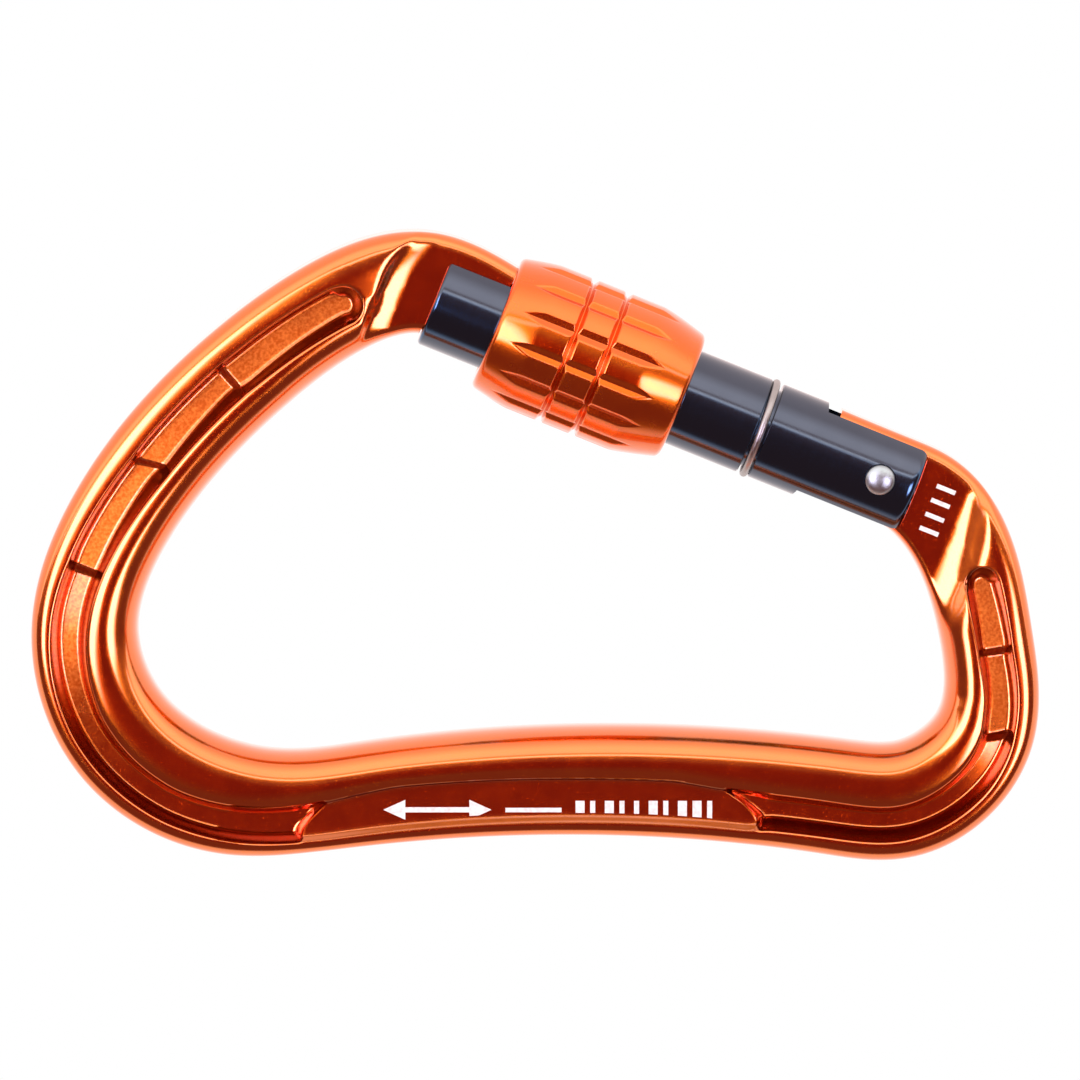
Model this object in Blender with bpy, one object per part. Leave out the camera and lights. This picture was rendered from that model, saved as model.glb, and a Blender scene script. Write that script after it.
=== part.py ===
"""Locking carabiner: a hot-forged pear-shaped body, a hinged gate and a locking sleeve.

The ring of the carabiner lies in the XZ plane and stands on its spine: +X runs towards the
hinge end, +Z from the spine to the gate, and Y is the thickness. The origin is at the middle
of the lowest edge. Dimensions below are in millimetres, and the meshes are in metres.

The gate has its own frame, an empty on the hinge axis. In that frame x ("along") runs from
the rivet towards the nose, and z ("above") points out of the ring.
"""
import math

import bmesh
import bpy
import numpy as np

MM = 0.001

# Gate frame
HINGE_X = 34.3
HINGE_Z = 38.3
GATE_TILT = math.radians(22.0)

# Gate tube
TUBE_RADIUS = 4.95
GATE_TAIL = -3.8
GATE_TIP = 47.8
TAIL_ROUND = 0.9
TIP_BEVEL = 0.4

# Slot over the hinge tang, and slot over the nose tang
HINGE_SLOT_WIDTH = 5.2
HINGE_SLOT_END = 6.65
HINGE_SLOT_RADIUS = 17.0
NOSE_SLOT_WIDTH = 6.0
NOSE_SLOT_END = 40.9
NOSE_SLOT_FLOOR = -3.5
KEY_MIDDLE = 44.5
KEY_TOP = -2.65
KEY_BASE_HALF = 0.75
KEY_TOP_HALF = 0.4

# Tangs of the body
HINGE_TANG_THICKNESS = 5.0
HINGE_TANG_END = 5.8
NOSE_TANG_THICKNESS = 5.7
NOSE_TANG_REACH = 41.74
NOSE_TANG_FLOOR = -3.3
NOSE_SHOULDER = 47.95
NOTCH_TOP = -2.4
NOTCH_TOP_HALF = 0.6
NOTCH_BASE_HALF = 1.2
TANG_CHAMFER = 0.6
TANG_EDGE_ROUND = 1.3

# Cam on the hinge tang that pushes the plunger as the gate opens
CAM_RADIUS = 1.3
CAM_SWEEP = math.radians(34.0)

# Spring, plunger and their bore
BORE_RADIUS = 2.05
BORE_END = 21.0
PLUNGER_RADIUS = 2.0
PLUNGER_FACE = 5.9
PLUNGER_SHOULDER = 9.5
PLUNGER_STEM_END = 12.5
PLUNGER_STEM_RADIUS = 1.1
SPRING_COIL_RADIUS = 1.55
SPRING_WIRE_RADIUS = 0.25
SPRING_TURNS = 7
SPRING_GAP = 0.1

# Rivet
RIVET_RADIUS = 1.2
RIVET_HOLE_RADIUS = 1.25
RIVET_HEAD_RADIUS = 1.5
RIVET_HEAD_BASE = 4.5
RIVET_HEAD_TOP = 5.45
HEAD_SEAT_RADIUS = 1.6
HEAD_SEAT_DEPTH = 4.45

# Stop ring: a split wire ring, tilted a little in its groove
RING_ALONG = 12.8
RING_OUTER_RADIUS = 5.17
RING_WIRE_RADIUS = 0.38
RING_TILT = math.radians(1.6)
RING_SPLIT = math.radians(14.0)
GROOVE_WIDTH = 1.15
GROOVE_RADIUS = 4.2

# Locking sleeve
SLEEVE_START = 21.2
SLEEVE_LENGTH = 20.0
SLEEVE_BORE_RADIUS = 5.05
SLEEVE_MIDDLE_RADIUS = 7.65
SLEEVE_HINGE_END = (6.45, 5.0)
SLEEVE_NOSE_END = (6.85, 4.1)
BARREL_POWER = 1.25
SLEEVE_EDGE_ROUND = 0.5
SLEEVE_BORE_CHAMFER = 0.4
SLEEVE_GROOVES = (8.8, 12.4)
SLEEVE_GROOVE_HALF = 0.4
SLEEVE_GROOVE_DEPTH = 0.6
FLUTE_COUNT = 14
FLUTE_FLOOR_RADIUS = 7.32
FLUTE_SLOPE = math.radians(25.5)
FLUTE_HALF = 4.9
FLUTE_FIRST = math.radians(19.3)

# Body section: a wide inner flange that bears the rope, a channel and an outer flange
INNER_HALF_DEPTH = 5.0
INNER_ROUND_SPAN = 3.8
INNER_ROUND_POWER = 2.3
OUTER_HALF_DEPTH = 4.6
OUTER_ROUND = 1.4
CHANNEL_HALF_DEPTH = 2.1
POCKET_HALF_DEPTH = 3.1
LABEL_HALF_DEPTH = 4.3

# Centreline of the body from the hinge to the nose: x, z and width across the ring
SPINE_KNOTS = (
    (38.5, 36.5, 9.6),
    (45.0, 22.5, 9.3),
    (44.5, 12.0, 10.2),
    (37.0, 6.0, 11.5),
    (30.0, 6.2, 11.5),
    (-16.5, 6.6, 10.2),
    (-23.5, 5.8, 10.2),
    (-30.0, 6.0, 11.1),
    (-41.0, 12.0, 11.5),
    (-45.0, 23.0, 10.7),
    (-41.5, 34.0, 10.6),
    (-28.0, 49.6, 10.5),
    (-21.5, 54.4, 10.3),
)
# The same at the two ends, in the gate's frame: along, above and width
HINGE_KNOTS = ((HINGE_TANG_END, 0.3, 9.1), (-2.0, 0.25, 9.1))
NOSE_KNOTS = ((49.5, 0.95, 10.3), (NOSE_TANG_REACH - 0.85, 0.75, 10.0))

# The channel, as distances from the hinge end of the centreline and then offsets from it, out
# of the ring being positive: inner rim, inner edge of the floor, outer edge, outer rim
CHANNEL_ROWS = (
    (19.3, -1.30, -0.30, 1.65, 2.40),
    (27.5, -1.00, -0.65, 1.95, 2.25),
    (28.2, -1.00, -0.40, 1.60, 2.25),
    (35.2, -0.35, -0.15, 2.30, 2.70),
    (36.3, -0.25, 0.30, 2.20, 2.90),
    (40.0, 0.10, 0.60, 2.40, 3.40),
    (48.0, 0.40, 0.90, 2.65, 3.85),
    (60.5, 0.30, 0.90, 2.70, 3.90),
    (62.0, 0.25, 0.55, 3.40, 4.20),
    (66.0, 0.10, 0.30, 3.30, 4.15),
    (70.0, -0.35, -0.15, 3.25, 4.15),
    (80.0, -0.40, -0.20, 3.20, 4.10),
    (98.0, -0.65, -0.45, 3.05, 3.90),
    (103.0, -0.20, 0.00, 3.10, 3.85),
    (108.0, 0.20, 0.70, 3.20, 3.85),
    (120.0, 0.75, 1.30, 3.30, 4.10),
    (130.0, 0.50, 1.05, 3.00, 3.90),
    (140.0, -0.35, 0.25, 2.50, 3.20),
    (144.6, -0.70, -0.05, 2.10, 2.85),
    (145.6, -0.80, -0.25, 2.30, 2.80),
    (156.3, -1.45, -0.35, 2.05, 2.40),
    (157.8, -1.50, -0.70, 2.10, 2.40),
    (168.0, -1.55, -0.35, 2.00, 2.35),
    (169.5, -1.60, -0.90, 2.00, 2.30),
    (184.4, -2.20, -1.00, 1.50, 1.80),
)
CHANNEL_START = 19.3
CHANNEL_END = 184.0

# Where the channel's floor steps, at its outer and at its inner edge
HINGE_RISERS = ((27.6, 27.6), (35.2, 36.2))
LABEL_ENDS = ((61.5, 65.0), (107.6, 105.0))
NOSE_RISERS = ((145.0, 145.0), (156.6, 157.8), (168.8, 168.8))
RISER_LENGTH = 0.5

# The flats of the two tangs end in ramps, given in the gate's frame
HINGE_RAMP_START = -9.1
HINGE_RAMP_LENGTH = 3.9
NOSE_RAMP_START = 51.3
NOSE_RAMP_LENGTH = 2.5
NOSE_RAMP_BOW = 0.055

STATION_STEP = 2.4
DENSE_STEP = 0.7


def material(name, color, metallic, roughness):
    made = bpy.data.materials.new(name)
    made.use_nodes = True
    shader = made.node_tree.nodes["Principled BSDF"]
    shader.inputs["Base Color"].default_value = (*color, 1.0)
    shader.inputs["Metallic"].default_value = metallic
    shader.inputs["Roughness"].default_value = roughness
    return made


def add_object(name, vertices, faces, finish=None, parent=None, sharp=math.radians(30)):
    """A smooth-shaded mesh object from vertices in millimetres."""
    mesh = bpy.data.meshes.new(name)
    mesh.from_pydata([tuple(c * MM for c in v) for v in vertices], [], faces)
    shaped = bmesh.new()
    shaped.from_mesh(mesh)
    bmesh.ops.recalc_face_normals(shaped, faces=shaped.faces)
    shaped.to_mesh(mesh)
    shaped.free()
    mesh.shade_smooth()
    mesh.set_sharp_from_angle(angle=sharp)
    added = bpy.data.objects.new(name, mesh)
    bpy.context.scene.collection.objects.link(added)
    added.parent = parent
    if finish:
        mesh.materials.append(finish)
    return added


def as_cutter(cutter):
    cutter.hide_render = True
    cutter.display_type = "WIRE"
    return cutter


def cut(target, cutter):
    modifier = target.modifiers.new(cutter.name, "BOOLEAN")
    modifier.operation = "DIFFERENCE"
    modifier.solver = "EXACT"
    modifier.object = cutter


def turned(profile, segments, axis="x"):
    """Vertices and faces of a profile of (distance, radius) turned about the x or y axis."""
    vertices = []
    faces = []
    rings = []
    for distance, radius in profile:
        start = len(vertices)
        count = 1 if radius == 0 else segments
        rings.append((start, count))
        for k in range(count):
            angle = 2 * math.pi * k / segments
            across = radius * math.cos(angle)
            up = radius * math.sin(angle)
            point = (distance, across, up) if axis == "x" else (across, distance, up)
            vertices.append(point)
    for (first, count), (second, next_count) in zip(rings, rings[1:]):
        for k in range(segments):
            after = (k + 1) % segments
            ring = [first + k % count, first + after % count]
            ring += [second + after % next_count, second + k % next_count]
            faces.append(list(dict.fromkeys(ring)))
    for start, count in (rings[0], rings[-1]):
        if count > 1:
            faces.append([start + k for k in range(count)])
    return vertices, faces


def prism(outline, half_thickness):
    """An outline of (x, z) points extruded both ways along y."""
    count = len(outline)
    vertices = [(x, -half_thickness, z) for x, z in outline]
    vertices += [(x, half_thickness, z) for x, z in outline]
    faces = [list(range(count)), list(range(count, 2 * count))]
    for k in range(count):
        after = (k + 1) % count
        faces.append([k, after, count + after, count + k])
    return vertices, faces


def gate_point(along, above):
    """The (x, z) of a point given in the gate's frame."""
    x = HINGE_X - along * math.cos(GATE_TILT) + above * math.sin(GATE_TILT)
    z = HINGE_Z + along * math.sin(GATE_TILT) + above * math.cos(GATE_TILT)
    return x, z


def gate_coordinates(x, z):
    """A point of the XZ plane as (along, above) in the gate's frame."""
    dx = x - HINGE_X
    dz = z - HINGE_Z
    along = dz * math.sin(GATE_TILT) - dx * math.cos(GATE_TILT)
    above = dx * math.sin(GATE_TILT) + dz * math.cos(GATE_TILT)
    return along, above


def natural_spline(knots, samples):
    """A natural cubic spline through the knots, sampled evenly in its chord parameter."""
    points = np.array(knots)
    steps = np.hypot(*np.diff(points[:, :2], axis=0).T)
    chord = np.concatenate([[0.0], np.cumsum(steps)])
    count = len(points)
    system = np.eye(count)
    right = np.zeros_like(points)
    for i in range(1, count - 1):
        before, after = steps[i - 1], steps[i]
        system[i, i - 1 : i + 2] = before, 2 * (before + after), after
        slope_after = (points[i + 1] - points[i]) / after
        slope_before = (points[i] - points[i - 1]) / before
        right[i] = 6 * (slope_after - slope_before)
    bend = np.linalg.solve(system, right)
    at = np.linspace(0.0, chord[-1], samples)
    i = np.clip(np.searchsorted(chord, at, side="right") - 1, 0, count - 2)
    step = steps[i][:, None]
    ahead = (chord[i + 1] - at)[:, None]
    behind = (at - chord[i])[:, None]
    curve = (bend[i] * ahead**3 + bend[i + 1] * behind**3) / (6 * step)
    curve += (points[i] / step - bend[i] * step / 6) * ahead
    curve += (points[i + 1] / step - bend[i + 1] * step / 6) * behind
    return curve


class Centreline:
    """The body's centreline, read by distance from its hinge end."""

    def __init__(self):
        knots = [(*gate_point(a, b), w) for a, b, w in HINGE_KNOTS]
        knots += SPINE_KNOTS
        knots += [(*gate_point(a, b), w) for a, b, w in NOSE_KNOTS]
        self.samples = natural_spline(knots, 8000)
        steps = np.hypot(*np.diff(self.samples[:, :2], axis=0).T)
        self.distance = np.concatenate([[0.0], np.cumsum(steps)])
        self.length = self.distance[-1]
        self.heading = np.gradient(self.samples[:, :2], self.distance, axis=0)

    def at(self, distance):
        """The point, the direction out of the ring and the width at a distance."""
        x, z, width = (np.interp(distance, self.distance, s) for s in self.samples.T)
        dx, dz = (np.interp(distance, self.distance, h) for h in self.heading.T)
        size = math.hypot(dx, dz)
        return (x, z), (-dz / size, dx / size), width


def blend(value, start, end):
    """0 before start, 1 after end, and straight between."""
    return min(1.0, max(0.0, (value - start) / (end - start)))


def tang_limit(distance, x, z):
    """The most that the half thickness may be, next to the two tangs."""
    along, above = gate_coordinates(x, z)
    if distance < CHANNEL_START + 4.0:
        rise = blend(HINGE_RAMP_START - along, 0.0, HINGE_RAMP_LENGTH)
        thin = HINGE_TANG_THICKNESS / 2
    elif distance > CHANNEL_END - 6.0:
        start = NOSE_RAMP_START - NOSE_RAMP_BOW * max(0.0, above - 0.5) ** 2
        rise = blend(along - start, 0.0, NOSE_RAMP_LENGTH)
        thin = NOSE_TANG_THICKNESS / 2
    else:
        return INNER_HALF_DEPTH
    return thin + (INNER_HALF_DEPTH - thin) * rise


def pocket_depth(distance, risers, first):
    """Floors that slope up away from the start of the channel, and drop again at each riser."""
    rise = POCKET_HALF_DEPTH - CHANNEL_HALF_DEPTH
    start = first
    for riser in risers:
        if distance < riser:
            return CHANNEL_HALF_DEPTH + rise * (distance - start) / (riser - start)
        if distance < riser + RISER_LENGTH:
            return POCKET_HALF_DEPTH - rise * (distance - riser) / RISER_LENGTH
        start = riser + RISER_LENGTH
    return CHANNEL_HALF_DEPTH


def floor_depth(distance, edge):
    """Half the web's thickness at the outer (0) or the inner (1) edge of the channel floor."""
    left, right = LABEL_ENDS[0][edge], LABEL_ENDS[1][edge]
    raised = min(blend(distance, left - RISER_LENGTH, left), 1.0)
    raised = min(raised, 1.0 - blend(distance, right, right + RISER_LENGTH))
    if raised > 0.0:
        return CHANNEL_HALF_DEPTH + (LABEL_HALF_DEPTH - CHANNEL_HALF_DEPTH) * raised
    if distance < left:
        return pocket_depth(distance, [r[edge] for r in HINGE_RISERS], CHANNEL_START)
    risers = [-r[edge] for r in reversed(NOSE_RISERS)]
    return pocket_depth(-distance, risers, -CHANNEL_END)


def channel_offsets(distance):
    """Offsets of the channel's rims and floor edges; they close up at its two round ends."""
    rows = np.array(CHANNEL_ROWS)
    offsets = [float(np.interp(distance, rows[:, 0], column)) for column in rows[:, 1:].T]
    middle = (offsets[0] + offsets[3]) / 2
    radius = (offsets[3] - offsets[0]) / 2
    gap = min(distance - CHANNEL_START, CHANNEL_END - distance)
    short = min(1.0, max(0.0, 1.0 - gap / radius))
    narrow = max(0.1, math.sqrt(1.0 - short**2))
    return [middle + (offset - middle) * narrow for offset in offsets], gap > 0.0


def section(line, distance):
    """The (offset, half depth) points of the body's front half, inner edge to outer edge."""
    (x, z), (out_x, out_z), width = line.at(distance)
    half = width / 2
    edges, is_open = channel_offsets(distance)
    round_span = min(INNER_ROUND_SPAN, half + edges[0] - 0.1)
    points = []
    for gap in (1.0, 0.95, 0.78, 0.48, 0.0):
        depth = INNER_HALF_DEPTH * (1.0 - gap**INNER_ROUND_POWER) ** (1.0 / INNER_ROUND_POWER)
        points.append((round_span * (1.0 - gap) - half, depth))
    for k, offset in enumerate(edges):
        part = blend(offset, edges[0], edges[3])
        depth = INNER_HALF_DEPTH + (OUTER_HALF_DEPTH - INNER_HALF_DEPTH) * part
        if k in (1, 2) and is_open:
            depth = min(depth, floor_depth(distance, edge=2 - k))
        points.append((offset, depth))
    corner = min(OUTER_ROUND, half - edges[3] - 0.1)
    for angle in (90.0, 45.0, 0.0):
        turn = math.radians(angle)
        offset = half - corner + corner * math.cos(turn)
        points.append((offset, OUTER_HALF_DEPTH - corner + corner * math.sin(turn)))
    points.append((half, 0.0))
    limited = []
    for offset, depth in points:
        limit = tang_limit(distance, x + out_x * offset, z + out_z * offset)
        limited.append((offset, min(depth, limit - edge_drop(half - offset))))
    limited[-1] = (half, 0.0)
    return limited


def edge_drop(gap):
    """How far a rounded edge falls away at a distance in from it."""
    short = min(TANG_EDGE_ROUND, max(0.0, TANG_EDGE_ROUND - gap))
    return TANG_EDGE_ROUND - math.sqrt(TANG_EDGE_ROUND**2 - short**2)


def body_stations(line):
    """Distances along the body: even steps, and closer ones where its shape changes."""
    wanted = {0.0, line.length}
    for end, side in ((CHANNEL_START, 1), (CHANNEL_END, -1)):
        wanted |= {end + side * step for step in (0.02, 0.25, 0.9, 1.9)}
    for pair in (*HINGE_RISERS, LABEL_ENDS[1]):
        wanted |= {riser + step for riser in pair for step in (0.0, RISER_LENGTH)}
    for pair in (*NOSE_RISERS, LABEL_ENDS[0]):
        wanted |= {riser - step for riser in pair for step in (0.0, RISER_LENGTH)}
    ramps = [*np.arange(12.0, 19.0, DENSE_STEP), *np.arange(184.8, 190.5, DENSE_STEP)]
    wanted |= {float(d) for d in ramps}
    for d in np.arange(STATION_STEP, line.length - 1.0, STATION_STEP):
        if min(abs(d - w) for w in wanted) > DENSE_STEP:
            wanted.add(float(d))
    return sorted(wanted)


def build_body(finish, gate_axis):
    line = Centreline()
    vertices = []
    rings = []
    for distance in body_stations(line):
        (x, z), (out_x, out_z), _ = line.at(distance)
        front = section(line, distance)
        back = [(offset, -depth) for offset, depth in reversed(front[1:-1])]
        ring = []
        for offset, depth in front + back:
            ring.append(len(vertices))
            vertices.append((x + out_x * offset, -depth, z + out_z * offset))
        rings.append(ring)
    faces = [rings[0], rings[-1]]
    for ring, following in zip(rings, rings[1:]):
        for k in range(len(ring)):
            after = (k + 1) % len(ring)
            faces.append([ring[k], ring[after], following[after], following[k]])
    body = add_object("body", vertices, faces, finish)
    for cutter in (nose_cutter(gate_axis), cam_cutter(gate_axis), rivet_hole(gate_axis)):
        cut(body, cutter)
    return body


def nose_cutter(gate_axis):
    """Trims the nose tang to the slot it drops into, and cuts its latch notch.

    The tang's tip is an arc about the hinge, so that the sleeve's rim swings past it.
    """
    below = -8.0
    beyond = NOSE_TANG_REACH - 4.0
    outline = [(beyond, below), (beyond, -below)]
    low = NOSE_TANG_FLOOR + TANG_CHAMFER
    for above in (-below, 6.5, 5.5, 4.5, 3.0, 1.5, 0.0, -1.5, low):
        outline.append((math.sqrt(NOSE_TANG_REACH**2 - above**2), above))
    outline += [(outline[-1][0] + TANG_CHAMFER, NOSE_TANG_FLOOR)]
    outline += [(KEY_MIDDLE - NOTCH_BASE_HALF, NOSE_TANG_FLOOR)]
    outline += [(KEY_MIDDLE - NOTCH_TOP_HALF, NOTCH_TOP)]
    outline += [(KEY_MIDDLE + NOTCH_TOP_HALF, NOTCH_TOP)]
    outline += [(KEY_MIDDLE + NOTCH_BASE_HALF, NOSE_TANG_FLOOR)]
    outline += [(NOSE_SHOULDER, NOSE_TANG_FLOOR), (NOSE_SHOULDER, below)]
    vertices, faces = prism(outline, 6.0)
    return as_cutter(add_object("nose_cutter", vertices, faces, parent=gate_axis))


def cam_cutter(gate_axis):
    """Rounds the tang's lower corner to an involute, so the plunger's travel follows the swing."""
    outline = [(HINGE_TANG_END + 3.0, -CAM_RADIUS), (HINGE_TANG_END + 3.0, -8.0)]
    outline += [(3.5, -8.0)]
    steps = 12
    for k in range(steps, -1, -1):
        angle = CAM_SWEEP * k / steps
        reach = HINGE_TANG_END + CAM_RADIUS * angle
        x = reach * math.cos(angle) - CAM_RADIUS * math.sin(angle)
        z = -reach * math.sin(angle) - CAM_RADIUS * math.cos(angle)
        outline.append((x, z))
    vertices, faces = prism(outline, 6.0)
    return as_cutter(add_object("cam_cutter", vertices, faces, parent=gate_axis))


def rivet_hole(gate_axis):
    profile = [(-9.0, RIVET_HOLE_RADIUS), (9.0, RIVET_HOLE_RADIUS)]
    vertices, faces = turned(profile, 32, axis="y")
    return as_cutter(add_object("rivet_hole", vertices, faces, parent=gate_axis))


def rounded_end(end, radius, corner, inward):
    """Profile points of a rounded edge at one end of a bar; inward is +1 or -1."""
    points = []
    for angle in (0, 30, 60, 90):
        along = end + inward * corner * (1 - math.sin(math.radians(angle)))
        points.append((along, radius - corner + corner * math.cos(math.radians(angle))))
    return points


def build_gate(finish, gate_axis):
    tail = rounded_end(GATE_TAIL, TUBE_RADIUS, TAIL_ROUND, 1)
    tip = rounded_end(GATE_TIP, TUBE_RADIUS, TIP_BEVEL, -1)
    half = GROOVE_WIDTH / 2
    groove = [
        (RING_ALONG - half, TUBE_RADIUS),
        (RING_ALONG - half, GROOVE_RADIUS),
        (RING_ALONG + half, GROOVE_RADIUS),
        (RING_ALONG + half, TUBE_RADIUS),
    ]
    vertices, faces = turned([*reversed(tail), *groove, *tip], 48)
    gate = add_object("gate", vertices, faces, finish, gate_axis)
    cutters = [hinge_slot(gate_axis), nose_slot(gate_axis), spring_bore(gate_axis)]
    cutters += [bpy.data.objects["rivet_hole"], *head_seats(gate_axis)]
    for cutter in cutters:
        cut(gate, cutter)
    return gate


def hinge_slot(gate_axis):
    """Clears the hinge tang; its end wall is hollow, deeper at the tube's surface."""
    start = GATE_TAIL - 2.0
    outline = [(start, 7.0), (start, -7.0)]
    for k in range(9):
        height = -7.0 + 14.0 * k / 8
        outline.append((HINGE_SLOT_END + height**2 / (2 * HINGE_SLOT_RADIUS), height))
    vertices, faces = prism(outline, HINGE_SLOT_WIDTH / 2)
    return as_cutter(add_object("hinge_slot", vertices, faces, parent=gate_axis))


def nose_slot(gate_axis):
    """Open at the tip and on the outside, with the latch key left standing on its floor."""
    end = GATE_TIP + 2.0
    outline = [(NOSE_SLOT_END, 7.0), (NOSE_SLOT_END, NOSE_SLOT_FLOOR)]
    outline += [(KEY_MIDDLE - KEY_BASE_HALF, NOSE_SLOT_FLOOR)]
    outline += [(KEY_MIDDLE - KEY_TOP_HALF, KEY_TOP), (KEY_MIDDLE + KEY_TOP_HALF, KEY_TOP)]
    outline += [(KEY_MIDDLE + KEY_BASE_HALF, NOSE_SLOT_FLOOR)]
    outline += [(end, NOSE_SLOT_FLOOR), (end, 7.0)]
    vertices, faces = prism(outline, NOSE_SLOT_WIDTH / 2)
    return as_cutter(add_object("nose_slot", vertices, faces, parent=gate_axis))


def spring_bore(gate_axis):
    profile = [(HINGE_SLOT_END - 2.0, BORE_RADIUS), (BORE_END, BORE_RADIUS)]
    vertices, faces = turned(profile, 32)
    return as_cutter(add_object("spring_bore", vertices, faces, parent=gate_axis))


def head_seats(gate_axis):
    seats = []
    for side, name in ((-1, "front_seat"), (1, "back_seat")):
        profile = [(side * HEAD_SEAT_DEPTH, HEAD_SEAT_RADIUS), (side * 8.0, HEAD_SEAT_RADIUS)]
        vertices, faces = turned(profile, 32, axis="y")
        seats.append(as_cutter(add_object(name, vertices, faces, parent=gate_axis)))
    return seats


def build_rivet(finish, gate_axis):
    """A shaft with a domed head set at each end."""
    rise = RIVET_HEAD_TOP - RIVET_HEAD_BASE - 0.3
    head = [(RIVET_HEAD_BASE, RIVET_RADIUS), (RIVET_HEAD_BASE, RIVET_HEAD_RADIUS)]
    for angle in (0, 30, 60):
        radius = RIVET_HEAD_RADIUS * math.cos(math.radians(angle))
        head.append((RIVET_HEAD_BASE + 0.3 + rise * math.sin(math.radians(angle)), radius))
    head.append((RIVET_HEAD_TOP, 0))
    mirrored = [(-y, r) for y, r in reversed(head)]
    vertices, faces = turned(mirrored + head, 32, axis="y")
    return add_object("hinge_rivet", vertices, faces, finish, gate_axis)


def build_plunger(finish, gate_axis):
    """Slides in the gate's bore, with its flat face on the cam and its stem in the spring."""
    profile = [
        (PLUNGER_FACE, 0),
        (PLUNGER_FACE, PLUNGER_RADIUS - 0.3),
        (PLUNGER_FACE + 0.3, PLUNGER_RADIUS),
        (PLUNGER_SHOULDER, PLUNGER_RADIUS),
        (PLUNGER_SHOULDER, PLUNGER_STEM_RADIUS),
        (PLUNGER_STEM_END - 0.3, PLUNGER_STEM_RADIUS),
        (PLUNGER_STEM_END, PLUNGER_STEM_RADIUS - 0.3),
        (PLUNGER_STEM_END, 0),
    ]
    vertices, faces = turned(profile, 24)
    return add_object("spring_plunger", vertices, faces, finish, gate_axis)


def swept_ring(path, frames, wire_radius, sides, closed):
    """A round wire along a path; frames hold two unit vectors across the wire at each point."""
    vertices = []
    for centre, (first, second) in zip(path, frames):
        for k in range(sides):
            angle = 2 * math.pi * k / sides
            a = wire_radius * math.cos(angle)
            b = wire_radius * math.sin(angle)
            vertices.append(tuple(centre[i] + a * first[i] + b * second[i] for i in range(3)))
    faces = []
    count = len(path)
    for j in range(count if closed else count - 1):
        following = (j + 1) % count
        for k in range(sides):
            after = (k + 1) % sides
            quad = [j * sides + k, j * sides + after]
            quad += [following * sides + after, following * sides + k]
            faces.append(quad)
    if not closed:
        faces.append(list(range(sides)))
        faces.append([(count - 1) * sides + k for k in range(sides)])
    return vertices, faces


def build_spring(finish, gate_axis):
    start = PLUNGER_SHOULDER + SPRING_GAP + SPRING_WIRE_RADIUS
    end = BORE_END - SPRING_GAP - SPRING_WIRE_RADIUS
    steps = SPRING_TURNS * 14
    path = []
    frames = []
    for k in range(steps + 1):
        angle = 2 * math.pi * SPRING_TURNS * k / steps
        radial = (0.0, math.cos(angle), math.sin(angle))
        along = start + (end - start) * k / steps
        path.append((along, SPRING_COIL_RADIUS * radial[1], SPRING_COIL_RADIUS * radial[2]))
        frames.append(((1.0, 0.0, 0.0), radial))
    vertices, faces = swept_ring(path, frames, SPRING_WIRE_RADIUS, 6, closed=False)
    return add_object("gate_spring", vertices, faces, finish, gate_axis)


def build_stop_ring(finish, gate_axis):
    """A split wire ring in the gate's groove, with its split on the far side."""
    middle_radius = RING_OUTER_RADIUS - RING_WIRE_RADIUS
    steps = 44
    path = []
    frames = []
    for k in range(steps + 1):
        angle = math.radians(90) + RING_SPLIT / 2 + (2 * math.pi - RING_SPLIT) * k / steps
        radial = (0.0, math.cos(angle), math.sin(angle))
        path.append(tuple(middle_radius * c for c in radial))
        frames.append(((1.0, 0.0, 0.0), radial))
    vertices, faces = swept_ring(path, frames, RING_WIRE_RADIUS, 8, closed=False)
    ring = add_object("stop_ring", vertices, faces, finish, gate_axis)
    ring.location = (RING_ALONG * MM, 0.0, 0.0)
    ring.rotation_euler = (math.radians(90), RING_TILT, 0.0)
    return ring


def barrel_radius(along):
    """The sleeve's outer radius before its grooves and flutes, from its hinge-side end."""
    drop = 0.0
    ends = ((along, SLEEVE_HINGE_END), (SLEEVE_LENGTH - along, SLEEVE_NOSE_END))
    for gap, (end_radius, shoulder) in ends:
        beyond = max(0.0, 1.0 - gap / shoulder) ** BARREL_POWER
        drop += (SLEEVE_MIDDLE_RADIUS - end_radius) * beyond
    edge = max(0.0, SLEEVE_EDGE_ROUND - min(along, SLEEVE_LENGTH - along))
    edge_drop = SLEEVE_EDGE_ROUND - math.sqrt(SLEEVE_EDGE_ROUND**2 - edge**2)
    return SLEEVE_MIDDLE_RADIUS - drop - edge_drop


def flute_radius(angle):
    """The radius of a straight V cut at an angle from its bottom."""
    return FLUTE_FLOOR_RADIUS / (math.cos(angle) - abs(math.sin(angle)) * math.tan(FLUTE_SLOPE))


def sleeve_radius(along, angle, in_groove):
    radius = min(barrel_radius(along), flute_radius(angle))
    if in_groove:
        radius = min(radius, SLEEVE_MIDDLE_RADIUS - SLEEVE_GROOVE_DEPTH)
    return radius


def sleeve_rings():
    """(distance along the sleeve, whether it lies in a ring groove) for each ring of points."""
    places = [0.0, 0.15, 0.5, 2.6, 5.0]
    rings = [(d, False) for d in places]
    for middle in SLEEVE_GROOVES:
        edges = (middle - SLEEVE_GROOVE_HALF, middle + SLEEVE_GROOVE_HALF)
        rings += [(edges[0], False), (middle, True), (edges[1], False)]
    rings += [(SLEEVE_LENGTH - d, False) for d in (4.1, 2.2, 0.5, 0.15, 0.0)]
    return rings


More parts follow.
